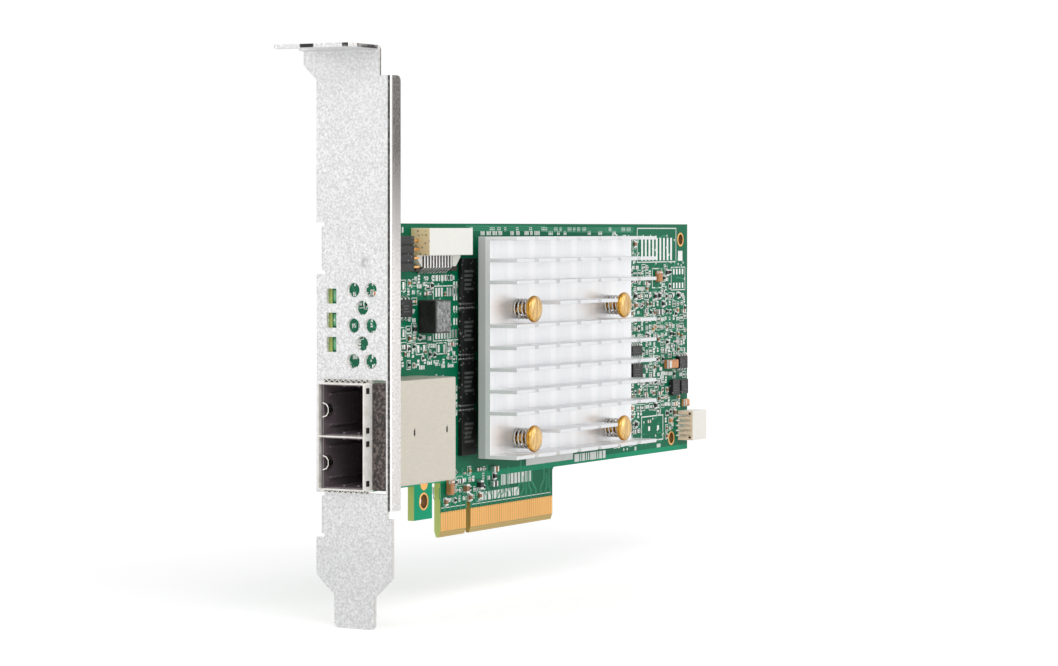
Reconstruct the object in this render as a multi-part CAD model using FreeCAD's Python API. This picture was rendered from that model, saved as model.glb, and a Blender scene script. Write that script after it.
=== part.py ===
import FreeCAD, Part
import math
import os

# A storage controller card for a server's expansion slot: a long low circuit board on a
# full-height folded bracket, with two cable ports through the bracket, a cross-cut aluminium
# heat sink held by four sprung pins, and surface-mounted parts on both faces.
#
# Frame: X runs along the board, away from the bracket. Y runs through the board, and the
# component side faces -Y. Z is up, away from the slot. The origin is the centre of the edge
# connector's key notch, halfway through the board, at the lower edge of the fingers.

# Board
BOARD_REACH = 167.65
BOARD_TOP = 68.9
BOARD_THICK = 1.57
BODY_BOTTOM = 12.1
KEY_TO_BRACKET = 57.15
BOARD_EDGE_GAP = 0.35
KEY_WIDTH = 1.9
KEY_DEPTH = 8.2
TAB_SHORT = 12.15
TAB_LONG = 39.15
TAB_CHAMFER_HEIGHT = 1.3
TAB_CHAMFER_DEPTH = 0.45
RETENTION_TAB_START = 33.8
RETENTION_TAB_WIDTH = 7.7
RETENTION_TAB_BOTTOM = 4.55
RETENTION_HOLE_DIAMETER = 3.1
RETENTION_HOLE_RISE = 3.95
RETENTION_HOLE_SHIFT = 0.3
BOARD_CORNER = 1.0
EXTENDER_HOLE_DIAMETER = 2.7
EXTENDER_HOLE_UPPER_INSET = 3.85
EXTENDER_HOLE_UPPER_DROP = 3.85
EXTENDER_HOLE_LOWER_INSET = 9.05
EXTENDER_HOLE_LOWER_RISE = 3.2
RING_WIDTH = 0.45
RING_THICK = 0.05
EAR_BEYOND_LUG = 1.2
EAR_BOTTOM_INSET = 0.3
PORT_CLEARANCE = 0.2
SCREW_CLEARANCE = 0.3

# Edge contacts
CONTACT_COUNT = 49
CONTACT_PITCH = 1.0
CONTACT_WIDTH = 0.7
CONTACT_TOP = 5.5
CONTACT_THICK = 0.05
CONTACTS_BEFORE_KEY = 11
FIRST_CONTACT_INSET = 0.65
CONTACT_KEY_STEP = 3.0

# Bracket
SHEET = 0.86
BEND_RADIUS = 1.2
BRACKET_WIDTH = 18.42
BRACKET_BEYOND_FACE = 3.2
BRACKET_HEIGHT = 120.02
BRACKET_TOP = 105.4
EAR_SHIFT = 3.17
EAR_STRAIGHT = 3.7
EAR_SLOPE = 3.1
TAB_DEPTH = 11.43
NOTCH_WIDTH = 4.42
NOTCH_OUTER_STRIP = 1.85
NOTCH_REACH = 5.2
TAB_CORNER = 0.6
FLANGE_DEPTH = 3.4
FLANGE_TOP = 99.2
FLANGE_BOTTOM = 9.85
FLANGE_RELIEF = 1.6
TONGUE_WIDTH = 9.8
TONGUE_INSET = 4.35
TONGUE_TOP = -7.9
TONGUE_SLOPE = 4.1
TONGUE_CORNER = 1.2
LUG_LENGTH = 9.0
UPPER_LUG_BOTTOM = 59.2
UPPER_LUG_TOP = 68.3
LOWER_LUG_BOTTOM = 4.7
LOWER_LUG_TOP = 12.4
LUG_RELIEF = 0.8
LUG_HOLE_FROM_FACE = 5.6
VENT_DIAMETER = 3.0
VENT_TOP = 55.12
VENT_ROW_PITCH = 7.33
VENT_HEIGHT_ABOVE_BOARD = 7.93
VENT_PAIR_SPACING = 4.16
VENT_PAIRS = 3
LED_SLOT_WIDTH = 2.3
LED_SLOT_HEIGHT = 3.1
LED_SLOT_TOP_CENTRE = 53.83
LED_PITCH = 5.0
LED_COUNT = 3
LED_SLOT_START = -0.6
LED_SETBACK = 1.1
LED_LENGTH = 0.8
LED_WIDTH = 2.4
LED_HEIGHT = 1.1
LED_LENS_WIDTH = 1.6
LED_LENS_REACH = 0.2
LED_LENS_INSET = 0.15

# Bracket screws
SCREW_DIAMETER = 2.9
SCREW_HEAD_DIAMETER = 5.4
SCREW_HEAD_HEIGHT = 1.9
SCREW_CROWN = 0.5
SCREW_TIP = 1.0
RECESS_DEPTH = 1.0
RECESS_LENGTH = 2.6
RECESS_WIDTH = 0.6

# Cable ports
CAGE_STAND_OUT = 3.1
CAGE_END = 33.9
CAGE_HEIGHT = 10.4
CAGE_BOTTOM = 13.95
CAGE_TOP = 36.05
CAGE_WALL = 0.35
CAGE_BACKSET = 1.0
COLLAR_END = 3.2
LATCH_WINDOW = 1.4
LATCH_WINDOW_HEIGHT = 1.2
LATCH_WINDOW_FROM_FRONT = 0.8
LATCH_WINDOW_FROM_WALL = 0.6
CAGE_SLIT_WIDTH = 0.4
CAGE_SLIT_HEIGHT = 1.7
CAGE_SLITS = (17.0, 30.4)
GASKET_WIDTH = 3.3
GASKET_DEPTH = 2.6
FINGER_SPACE = 0.6
FINGER_COUNT = 8
FINGER_SHEET = 0.15
FINGER_START = -0.6
FINGER_END = 1.8
RECEPTACLE_START = 18.0
RECEPTACLE_CLEARANCE = 0.1
PADDLE_SLOT = 1.2
PADDLE_SLOT_DEPTH = 6.0
PADDLE_SLOT_MARGIN = 1.2

# Controller and heat sink
SUBSTRATE_SIDE = 35.0
SUBSTRATE_THICK = 1.2
LID_SIDE = 31.0
LID_THICK = 2.0
LID_STEP = 0.5
LID_BRIM = 1.5
PAD_SIDE = 26.0
PAD_THICK = 0.4
SINK_START = 55.4
SINK_LENGTH = 68.2
SINK_BOTTOM = 16.8
SINK_HEIGHT = 49.2
SINK_BASE = 3.1
FIN_HEIGHT = 6.8
FIN_THICK = 0.8
FIN_ROWS = 11
FIN_COLUMNS = 7
FIN_CUT = 1.9
PIN_INSET = 12.2
PIN_ROWS = (4, 10)
PIN_BELOW_ROW = 1.28
PIN_CLEAR_COLUMNS = 2

# Spring pins
PIN_HEAD_DIAMETER = 6.0
PIN_HEAD_THICK = 1.7
PIN_HEAD_CHAMFER = 0.45
PIN_FACE_DIAMETER = 4.2
PIN_NECK_DIAMETER = 3.2
PIN_NECK_LENGTH = 1.2
PIN_SHAFT_DIAMETER = 2.4
PIN_HOLE_DIAMETER = 3.0
PIN_BARB_DIAMETER = 3.4
PIN_BARB_LENGTH = 1.8
PIN_TIP_DIAMETER = 1.4
SPRING_LENGTH = 3.6
SPRING_DIAMETER = 4.7
SPRING_WIRE = 0.5
SPRING_TURNS = 3
SPRING_STEPS = 7

# Shrouded top connector
SHROUD_START = 32.5
SHROUD_LENGTH = 18.6
SHROUD_HEIGHT = 4.75
SHROUD_TOP_DROP = 1.0
SHROUD_TALL = 5.9
SHROUD_WALL = 0.8
SHROUD_CAVITY = 3.2
LIP_DROP = 2.5
LIP_THICK = 1.6
LIP_CHAMFER = 2.0
SHROUD_LEADS = 10
SHROUD_LEAD_PITCH = 1.25
SHROUD_LEAD_INSET = 2.6
SHROUD_LEAD_WIDTH = 0.5
SHROUD_LEAD_FOOT = 1.5
LEAD_THICK = 0.25

# Pin header
HEADER_START = 22.6
HEADER_LENGTH = 5.8
HEADER_HEIGHT = 3.4
HEADER_PITCH = 1.9
HEADER_ROWS = 4
HEADER_TOP_DROP = 2.7
HEADER_PIN = 0.5
HEADER_PIN_REACH = 3.2
HEADER_PIN_TAIL = 0.8
HEADER_PIN_LEVELS = (1.0, 2.5)
HEADER_GROOVE_WIDTH = 0.3
HEADER_GROOVE_DEPTH = 0.3

# Side connector
SIDE_HOUSING_OVERHANG = 2.7
SIDE_HOUSING_LENGTH = 8.0
SIDE_HOUSING_HEIGHT = 4.1
SIDE_HOUSING_BOTTOM = 14.6
SIDE_HOUSING_TALL = 7.4
SIDE_WALL = 0.7
SIDE_CAVITY = 5.2
SIDE_CONTACTS = 5
SIDE_PITCH = 1.25
SIDE_SLOT = 0.5
SIDE_SLOT_DEPTH = 0.6
SIDE_PIN = 0.4
SIDE_PIN_RECESS = 1.2
SIDE_FOOT = 1.3

# Power inductor
INDUCTOR_START = 35.3
INDUCTOR_LENGTH = 6.3
INDUCTOR_BOTTOM = 45.1
INDUCTOR_TALL = 7.2
INDUCTOR_HEIGHT = 4.9
INDUCTOR_CHAMFER = 0.4
INDUCTOR_TERMINAL = 0.3
TERMINAL_DEPTH = 1.8
TERMINAL_INSET = 0.8

# Chips and moulded capacitors. Each list gives a part's left end behind the bracket's face,
# its lower edge, and its size along X, along Z and out from the board.
LEADED_CHIPS = [
    (26.6, 48.8, 4.4, 3.7, 1.4),
    (135.2, 30.9, 5.2, 3.8, 1.3),
    (135.2, 36.7, 5.2, 2.4, 1.1),
    (160.9, 32.7, 4.4, 3.0, 1.3),
]
FLAT_CHIPS = [
    (157.2, 26.1, 3.9, 3.9, 1.2),
    (162.0, 26.3, 3.8, 3.6, 1.2),
]
TANTALUM_CAPACITORS = [
    (154.3, 32.9, 5.4, 2.1, 1.6),
    (149.5, 54.6, 2.1, 2.7, 1.2),
    (47.4, 9.2, 1.6, 3.3, 1.4),
    (164.2, 23.0, 2.4, 1.8, 1.3),
]
CHIP_GAP = 0.1
LEAD_PITCH = 1.27
LEAD_REACH = 0.9
LEAD_SHOULDER = 0.36
LEAD_WIDTH = 0.35
TANTALUM_CHAMFER = 0.2
MEMORY_COUNT = 4
MEMORY_START = 52.6
MEMORY_BOTTOM = 17.5
MEMORY_PITCH = 11.3
MEMORY_LENGTH = 6.6
MEMORY_TALL = 9.8
MEMORY_HEIGHT = 1.1

# Small two-ended parts: length, width and height of each kind of case, the share of the
# length that each metal end takes, and how far the body lies below its ends
SMALL_CASES = (
    (1.6, 0.8, 0.8), (1.0, 0.5, 0.5), (1.6, 0.8, 0.45), (2.0, 1.25, 1.1), (1.0, 0.5, 0.35),
)
END_SHARE = 0.22
BODY_RECESS = 0.02

# Fields of small parts on the component side: left and right ends behind the bracket's
# face, lower and upper edges, and the spacing along X and along Z
SMALL_PART_FIELDS = [
    (125.0, 156.5, 23.5, 58.0, 7.4, 6.8),
    (125.0, 150.0, 13.2, 22.5, 8.2, 4.6),
    (26.0, 53.0, 37.6, 57.0, 8.2, 6.4),
    (157.5, 166.6, 38.0, 51.0, 4.5, 6.2),
    (52.0, 72.0, 8.6, 15.6, 6.4, 3.4),
]
SMALL_PART_STRAY = 0.25
CLEAR_OF_PARTS = 0.5
CLEAR_OF_LEADS = 1.4
CLEAR_OF_SCREW = 4.0

# Small parts on the solder side, behind the controller
BACK_COLUMNS = 4
BACK_ROWS = 3
BACK_PITCH = 6.2
BACK_CASE = (1.6, 0.8, 0.8)

# Label
LABEL_START = 83.6
LABEL_LENGTH = 22.7
LABEL_TALL = 4.2
LABEL_CLEARANCE = 0.28
LABEL_THICK = 0.1

# Small turned pieces, the holes that they fill and the vents are flat-sided, to keep their
# facets few
ROUND_SIDES = 12
VENT_SIDES = 16

# How far a cutter runs past what it cuts
PAST = 1.0

# How near counts as the same place when an edge is looked up
SAME_PLACE = 0.01

# Places that follow from the sizes above
BRACKET_FACE = -KEY_TO_BRACKET
FACE = -BOARD_THICK / 2
BACK = BOARD_THICK / 2
BOARD_LEFT = BRACKET_FACE + SHEET + BOARD_EDGE_GAP
BOARD_RIGHT = BRACKET_FACE + BOARD_REACH


def at(distance):
    """The X of a place that lies this far behind the bracket's outer face."""
    return BRACKET_FACE + distance


def out(height):
    """The Y of a place that stands this far out from the component face."""
    return FACE - height


def vec(x, y, z):
    return FreeCAD.Vector(x, y, z)


def box(x0, x1, y0, y1, z0, z1):
    """A block between two corners, given in any order."""
    low = vec(min(x0, x1), min(y0, y1), min(z0, z1))
    return Part.makeBox(abs(x1 - x0), abs(y1 - y0), abs(z1 - z0), low)


def join(shapes):
    """Several touching or overlapping shapes as one clean solid."""
    first, rest = shapes[0], shapes[1:]
    return first.fuse(rest).removeSplitter() if rest else first


def slab_y(points, y0, y1):
    """An outline of (x, z) points, as a plate between two Y levels."""
    wire = Part.makePolygon([vec(x, y0, z) for x, z in points + points[:1]])
    return Part.Face(wire).extrude(vec(0, y1 - y0, 0))


def slab_x(points, x0, x1):
    """An outline of (y, z) points, as a plate between two X levels."""
    wire = Part.makePolygon([vec(x0, y, z) for y, z in points + points[:1]])
    return Part.Face(wire).extrude(vec(x1 - x0, 0, 0))


def slab_z(points, z0, z1):
    """An outline of (x, y) points, as a plate between two Z levels."""
    wire = Part.makePolygon([vec(x, y, z0) for x, y in points + points[:1]])
    return Part.Face(wire).extrude(vec(0, 0, z1 - z0))


def rod_y(x, z, diameter, y0, y1):
    low, high = min(y0, y1), max(y0, y1)
    return Part.makeCylinder(diameter / 2, high - low, vec(x, low, z), vec(0, 1, 0))


def edges_along(shape, axis, test):
    """Straight edges of a shape that run along an axis and whose middle passes a test."""
    found = []
    for edge in shape.Edges:
        start, end = edge.Vertexes[0].Point, edge.Vertexes[-1].Point
        run = end - start
        if run.Length > SAME_PLACE and run.cross(axis).Length < SAME_PLACE * run.Length:
            if test((start + end) * 0.5):
                found.append(edge)
    return found


def round_points(x, z, diameter, sides=ROUND_SIDES):
    """The corners of a flat-sided round, as (x, z) points."""
    turns = [2 * math.pi * (i + 0.5) / sides for i in range(sides)]
    return [
        (x + diameter / 2 * math.cos(turn), z + diameter / 2 * math.sin(turn)) for turn in turns
    ]


def solid_of(faces):
    solid = Part.Solid(Part.Shell(faces))
    return solid if solid.Volume > 0 else solid.reversed()


def flat_face(points):
    return Part.Face(Part.makePolygon(points + points[:1]))


def turned_y(x, z, y_start, sections):
    """A turned piece along Y, of flat-sided rings: (distance towards +Y, diameter) pairs."""
    rings = [
        [vec(px, y_start + distance, pz) for px, pz in round_points(x, z, diameter)]
        for distance, diameter in sections
    ]
    faces = [flat_face(rings[0]), flat_face(rings[-1])]
    for here, ahead in zip(rings, rings[1:]):
        for i in range(ROUND_SIDES):
            j = (i + 1) % ROUND_SIDES
            faces.append(flat_face([here[i], here[j], ahead[j], ahead[i]]))
    return solid_of(faces)


# Board

def pin_places():
    """The four spring pins' axes, as (x, z), from the heat sink's own sizes."""
    pitch = fin_pitch()
    columns = (at(SINK_START) + PIN_INSET, at(SINK_START) + SINK_LENGTH - PIN_INSET)
    top_row = SINK_BOTTOM + SINK_HEIGHT - FIN_THICK / 2
    rows = [top_row - (row - 1) * pitch - PIN_BELOW_ROW for row in PIN_ROWS]
    return [(x, z) for z in rows for x in columns]


def lug_spans():
    return [(UPPER_LUG_BOTTOM, UPPER_LUG_TOP), (LOWER_LUG_BOTTOM, LOWER_LUG_TOP)]


def lug_holes():
    return [(at(LUG_HOLE_FROM_FACE), (low + high) / 2) for low, high in lug_spans()]


def ringed_holes():
    """Plated holes with a bare ring round them: (x, z, diameter)."""
    tab_middle = at(RETENTION_TAB_START + RETENTION_TAB_WIDTH / 2 + RETENTION_HOLE_SHIFT)
    return [
        (tab_middle, RETENTION_TAB_BOTTOM + RETENTION_HOLE_RISE, RETENTION_HOLE_DIAMETER),
        (BOARD_RIGHT - EXTENDER_HOLE_UPPER_INSET, BOARD_TOP - EXTENDER_HOLE_UPPER_DROP,
         EXTENDER_HOLE_DIAMETER),
        (BOARD_RIGHT - EXTENDER_HOLE_LOWER_INSET, BODY_BOTTOM + EXTENDER_HOLE_LOWER_RISE,
         EXTENDER_HOLE_DIAMETER),
    ]


def circuit_board():
    ear_right = at(LUG_LENGTH + EAR_BEYOND_LUG)
    ear_bottom = LOWER_LUG_BOTTOM + EAR_BOTTOM_INSET
    tab_left = at(RETENTION_TAB_START)
    tab_right = tab_left + RETENTION_TAB_WIDTH
    port_edge = at(COLLAR_END + PORT_CLEARANCE)
    port_low = CAGE_BOTTOM - FINGER_SPACE - PORT_CLEARANCE
    port_high = CAGE_TOP + FINGER_SPACE + PORT_CLEARANCE
    outline = [
        (BOARD_LEFT, BOARD_TOP),
        (BOARD_LEFT, port_high),
        (port_edge, port_high),
        (port_edge, port_low),
        (BOARD_LEFT, port_low),
        (BOARD_LEFT, ear_bottom),
        (ear_right, ear_bottom),
        (ear_right, BODY_BOTTOM),
        (tab_left, BODY_BOTTOM),
        (tab_left, RETENTION_TAB_BOTTOM),
        (tab_right, RETENTION_TAB_BOTTOM),
        (tab_right, BODY_BOTTOM),
        (-TAB_SHORT, BODY_BOTTOM),
        (-TAB_SHORT, 0),
        (TAB_LONG, 0),
        (TAB_LONG, BODY_BOTTOM),
        (BOARD_RIGHT, BODY_BOTTOM),
        (BOARD_RIGHT, BOARD_TOP),
    ]
    board = slab_y(outline, FACE, BACK)
    inner_corner = edges_along(
        board, vec(0, 1, 0),
        lambda p: abs(p.x - TAB_LONG) < SAME_PLACE and abs(p.z - BODY_BOTTOM) < SAME_PLACE,
    )
    board = board.makeFillet(BOARD_CORNER, inner_corner)
    key_top = KEY_DEPTH - KEY_WIDTH / 2
    cuts = [
        box(-KEY_WIDTH / 2, KEY_WIDTH / 2, FACE - PAST, BACK + PAST, -PAST, key_top),
        rod_y(0, key_top, KEY_WIDTH, FACE - PAST, BACK + PAST),
    ]
    for side in (-1, 1):
        edge = side * BOARD_THICK / 2
        wedge = [
            (edge - side * TAB_CHAMFER_DEPTH, 0),
            (edge + side * PAST, 0),
            (edge + side * PAST, TAB_CHAMFER_HEIGHT),
            (edge, TAB_CHAMFER_HEIGHT),
        ]
        cuts.append(slab_x(wedge, -TAB_SHORT - PAST, TAB_LONG + PAST))
    filled = [(x, z, SCREW_DIAMETER + SCREW_CLEARANCE) for x, z in lug_holes()]
    filled += [(x, z, PIN_HOLE_DIAMETER) for x, z in pin_places()]
    cuts += [slab_y(round_points(*hole), FACE - PAST, BACK + PAST) for hole in filled]
    cuts += [rod_y(*hole, FACE - PAST, BACK + PAST) for hole in ringed_holes()]
    return board.cut(cuts)


def plated_rings():
    """Bare plated rings round the plain holes, on both faces."""
    rings = []
    for x, z, diameter in ringed_holes():
        clear = diameter / math.cos(math.pi / ROUND_SIDES)
        for level, outward in ((FACE, -1), (BACK, 1)):
            top = level + outward * RING_THICK
            disc = slab_y(round_points(x, z, diameter + 2 * RING_WIDTH), level, top)
            rings.append(disc.cut(slab_y(round_points(x, z, clear), level, top)))
    return Part.makeCompound(rings)


def edge_contacts(level, outward):
    """The row of gold fingers on one face of the edge connector."""
    contacts = []
    for i in range(CONTACT_COUNT):
        x = -TAB_SHORT + FIRST_CONTACT_INSET + i * CONTACT_PITCH
        if i >= CONTACTS_BEFORE_KEY:
            x += CONTACT_KEY_STEP - CONTACT_PITCH
        contacts.append(box(
            x - CONTACT_WIDTH / 2, x + CONTACT_WIDTH / 2,
            level, level + outward * CONTACT_THICK,
            TAB_CHAMFER_HEIGHT, CONTACT_TOP,
        ))
    return Part.makeCompound(contacts)


# Bracket

def bent_leg(corner_y, inward, reach, z0, z1):
    """A leg folded back from the bracket's plate at one edge. Its outer face is at corner_y,
    and inward is the Y direction from there to the plate's middle."""
    x, r, t = BRACKET_FACE, BEND_RADIUS, SHEET
    centre = vec(x + r, corner_y + inward * r, z0)

    def arc(radius):
        half = math.sqrt(0.5) * radius
        return Part.Arc(
            centre + vec(-radius, 0, 0),
            centre + vec(-half, -inward * half, 0),
            centre + vec(0, -inward * radius, 0),
        ).toShape()

    outer, inner = arc(r), arc(r - t)
    tip_outer = vec(x + reach, corner_y, z0)
    tip_inner = vec(x + reach, corner_y + inward * t, z0)
    edges = [
        outer,
        Part.makeLine(centre + vec(0, -inward * r, 0), tip_outer),
        Part.makeLine(tip_outer, tip_inner),
        Part.makeLine(tip_inner, centre + vec(0, -inward * (r - t), 0)),
        inner,
        Part.makeLine(centre + vec(-(r - t), 0, 0), centre + vec(-r, 0, 0)),
    ]
    wire = Part.Wire(Part.__sortEdges__(edges))
    return Part.Face(wire).extrude(vec(0, 0, z1 - z0))


def top_tab(y_left, y_right):
    """The tab folded forward at the top, with the screw notch open on one side."""
    x, r, t, top = BRACKET_FACE, BEND_RADIUS, SHEET, BRACKET_TOP
    centre = vec(x + t - r, y_right, top - r)

    def arc(radius):
        half = math.sqrt(0.5) * radius
        return Part.Arc(
            centre + vec(radius, 0, 0),
            centre + vec(half, 0, half),
            centre + vec(0, 0, radius),
        ).toShape()

    tip = x - TAB_DEPTH
    edges = [
        arc(r),
        Part.makeLine(centre + vec(0, 0, r), vec(tip, y_right, top)),
        Part.makeLine(vec(tip, y_right, top), vec(tip, y_right, top - t)),
        Part.makeLine(vec(tip, y_right, top - t), centre + vec(0, 0, r - t)),
        arc(r - t),
        Part.makeLine(centre + vec(r - t, 0, 0), centre + vec(r, 0, 0)),
    ]
    wire = Part.Wire(Part.__sortEdges__(edges))
    tab = Part.Face(wire).extrude(vec(0, y_left - y_right, 0))
    far = tip + NOTCH_OUTER_STRIP
    near = far + NOTCH_WIDTH
    end_y = y_left - NOTCH_REACH
    mouth = slab_z(
        [(far, y_left + PAST), (far, end_y), (near, end_y), (x - BEND_RADIUS, y_left + PAST)],
        top - t - PAST, top + PAST,
    )
    round_end = Part.makeCylinder(
        NOTCH_WIDTH / 2, t + 2 * PAST, vec((far + near) / 2, end_y, top - t - PAST), vec(0, 0, 1)
    )
    tab = tab.cut([mouth, round_end])
    corners = edges_along(tab, vec(0, 0, 1), lambda p: abs(p.x - tip) < SAME_PLACE)
    return tab.makeFillet(TAB_CORNER, corners)


def window(y0, y1, z0, z1):
    """A cutter for a punched window through the bracket's plate."""
    return box(BRACKET_FACE - PAST, BRACKET_FACE + SHEET + PAST, y0, y1, z0, z1)


def bracket():
    left = FACE + BRACKET_BEYOND_FACE
    right = left - BRACKET_WIDTH
    top = BRACKET_TOP - BEND_RADIUS
    bottom = BRACKET_TOP - BRACKET_HEIGHT
    ear_left, ear_right = left + EAR_SHIFT, right + EAR_SHIFT
    ear_straight = BRACKET_TOP - EAR_STRAIGHT
    tongue_left = left - TONGUE_INSET
    tongue_right = tongue_left - TONGUE_WIDTH
    shoulder = TONGUE_TOP + TONGUE_SLOPE
    lug_outer = BACK + SHEET
    lug_bend = lug_outer - BEND_RADIUS
    flange_bend = right + BEND_RADIUS
    relief = FLANGE_BOTTOM - FLANGE_RELIEF
    outline = [
        (ear_left, top),
        (ear_left, ear_straight),
        (left, ear_straight - EAR_SLOPE),
    ]
    for low, high in lug_spans():
        outline += [
            (left, high + LUG_RELIEF),
            (lug_bend, high + LUG_RELIEF),
            (lug_bend, low - LUG_RELIEF),
            (left, low - LUG_RELIEF),
        ]
    outline += [
        (left, shoulder),
        (tongue_left, TONGUE_TOP),
        (tongue_left, bottom),
        (tongue_right, bottom),
        (tongue_right, TONGUE_TOP),
        (right, shoulder),
        (right, relief),
        (flange_bend, relief),
        (flange_bend, FLANGE_TOP),
        (ear_right, FLANGE_TOP),
        (ear_right, top),
    ]
    plate = slab_x(outline, BRACKET_FACE, BRACKET_FACE + SHEET)
    tongue_corners = edges_along(plate, vec(1, 0, 0), lambda p: abs(p.z - bottom) < SAME_PLACE)
    plate = plate.makeFillet(TONGUE_CORNER, tongue_corners)
    cuts = [port_opening()]
    for z in led_rows():
        start, half = out(LED_SLOT_START), LED_SLOT_HEIGHT / 2
        cuts.append(window(start, start - LED_SLOT_WIDTH, z - half, z + half))
    for y, z in vent_places():
        vent = round_points(y, z, VENT_DIAMETER, VENT_SIDES)
        cuts.append(slab_x(vent, BRACKET_FACE - PAST, BRACKET_FACE + SHEET + PAST))
    plate = plate.cut(cuts)
    flange = bent_leg(right, 1, FLANGE_DEPTH, FLANGE_BOTTOM, FLANGE_TOP)
    tip = BRACKET_FACE + FLANGE_DEPTH
    flange_corner = edges_along(
        flange, vec(0, 1, 0),
        lambda p: abs(p.x - tip) < SAME_PLACE and abs(p.z - FLANGE_TOP) < SAME_PLACE,
    )
    flange = flange.makeFillet(BEND_RADIUS, flange_corner)
    lugs = []
    for (low, high), (x, z) in zip(lug_spans(), lug_holes()):
        lug = bent_leg(lug_outer, -1, LUG_LENGTH, low, high)
        hole = round_points(x, z, SCREW_DIAMETER)
        lugs.append(lug.cut(slab_y(hole, BACK - PAST, lug_outer + PAST)))
    return join([plate, flange, top_tab(ear_left, ear_right)] + lugs)


def led_rows():
    return [LED_SLOT_TOP_CENTRE - i * LED_PITCH for i in range(LED_COUNT)]


def vent_places():
    """Round vents in staggered pairs and single holes: (y, z)."""
    middle = out(VENT_HEIGHT_ABOVE_BOARD)
    places = []
    for i in range(2 * VENT_PAIRS - 1):
        z = VENT_TOP - i * VENT_ROW_PITCH / 2
        spread = VENT_PAIR_SPACING / 2
        places += [(middle, z)] if i % 2 else [(middle - spread, z), (middle + spread, z)]
    return places


def port_opening():
    """A cutter for the window that the port cage, its gasket and its fingers fill."""
    return window(
        FACE + CAGE_BACKSET + PORT_CLEARANCE, out(CAGE_HEIGHT + GASKET_WIDTH),
        CAGE_BOTTOM - FINGER_SPACE, CAGE_TOP + FINGER_SPACE,
    )


def bracket_screws():
    """Pan-head screws, through the board into the bracket's lugs."""
    sections = [
        (0, SCREW_HEAD_DIAMETER - 2 * SCREW_CROWN),
        (SCREW_CROWN, SCREW_HEAD_DIAMETER),
        (SCREW_HEAD_HEIGHT, SCREW_HEAD_DIAMETER),
        (SCREW_HEAD_HEIGHT, SCREW_DIAMETER),
        (SCREW_HEAD_HEIGHT + BOARD_THICK + SHEET + SCREW_TIP, SCREW_DIAMETER),
    ]
    screws = []
    for x, z in lug_holes():
        screw = turned_y(x, z, out(SCREW_HEAD_HEIGHT), sections)
        for width, height in ((RECESS_WIDTH, RECESS_LENGTH), (RECESS_LENGTH, RECESS_WIDTH)):
            screw = screw.cut(box(
                x - width / 2, x + width / 2,
                out(SCREW_HEAD_HEIGHT - RECESS_DEPTH), out(SCREW_HEAD_HEIGHT + PAST),
                z - height / 2, z + height / 2,
            ))
        screws.append(screw)
    return Part.makeCompound(screws)


# Cable ports

def bay_spans():
    """The two bays' inner heights, lower then upper."""
    middle = (CAGE_BOTTOM + CAGE_TOP) / 2
    half = CAGE_WALL / 2
    return [(CAGE_BOTTOM + CAGE_WALL, middle - half), (middle + half, CAGE_TOP - CAGE_WALL)]


def port_cage():
    front, rear = at(-CAGE_STAND_OUT), at(CAGE_END)
    collar = box(
        front, at(COLLAR_END), FACE + CAGE_BACKSET, out(CAGE_HEIGHT), CAGE_BOTTOM, CAGE_TOP
    )
    body = box(front, rear, FACE, out(CAGE_HEIGHT), CAGE_BOTTOM, CAGE_TOP)
    shell = join([collar, body])
    long_edges = edges_along(shell, vec(1, 0, 0), lambda p: abs(p.y - out(CAGE_HEIGHT)) < SAME_PLACE)
    shell = shell.makeFillet(CAGE_WALL, long_edges)
    inner = out(CAGE_HEIGHT - CAGE_WALL)
    cuts = []
    for low, high in bay_spans():
        cuts.append(box(front - PAST, rear - CAGE_WALL, FACE, inner, low, high))
        cuts.append(box(
            front - PAST, at(COLLAR_END) - CAGE_WALL,
            FACE + CAGE_BACKSET - CAGE_WALL, inner, low, high,
        ))
        window_x = front + LATCH_WINDOW_FROM_FRONT
        for z in (low + LATCH_WINDOW_FROM_WALL, high - LATCH_WINDOW_FROM_WALL):
            step = LATCH_WINDOW_HEIGHT if z < (low + high) / 2 else -LATCH_WINDOW_HEIGHT
            cuts.append(box(
                window_x, window_x + LATCH_WINDOW, inner, out(CAGE_HEIGHT + PAST), z, z + step
            ))
    middle = (CAGE_BOTTOM + CAGE_TOP) / 2
    for distance in CAGE_SLITS:
        x = at(distance)
        cuts.append(box(
            x - CAGE_SLIT_WIDTH / 2, x + CAGE_SLIT_WIDTH / 2,
            out(CAGE_HEIGHT - CAGE_WALL / 2), out(CAGE_HEIGHT + PAST),
            middle - CAGE_SLIT_HEIGHT / 2, middle + CAGE_SLIT_HEIGHT / 2,
        ))
    return shell.cut(cuts)


def port_receptacle(low, high):
    """The black contact block at the back of one bay, with two slots for the plug's cards."""
    c = RECEPTACLE_CLEARANCE
    front, rear = at(RECEPTACLE_START), at(CAGE_END) - CAGE_WALL
    near, far = out(0), out(CAGE_HEIGHT - CAGE_WALL)
    block = box(front, rear, near, far, low + c, high - c)
    slots = []
    for share in (1 / 3, 2 / 3):
        z = low + (high - low) * share
        slots.append(box(
            front - PAST, front + PADDLE_SLOT_DEPTH,
            near - PADDLE_SLOT_MARGIN, far + PADDLE_SLOT_MARGIN,
            z - PADDLE_SLOT / 2, z + PADDLE_SLOT / 2,
        ))
    return block.cut(slots)


def port_gasket():
    """The strip of conductive foam between the cage and the bracket's fold."""
    return box(
        at(0), at(GASKET_DEPTH),
        out(CAGE_HEIGHT), out(CAGE_HEIGHT + GASKET_WIDTH),
        CAGE_BOTTOM, CAGE_TOP,
    )


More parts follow.
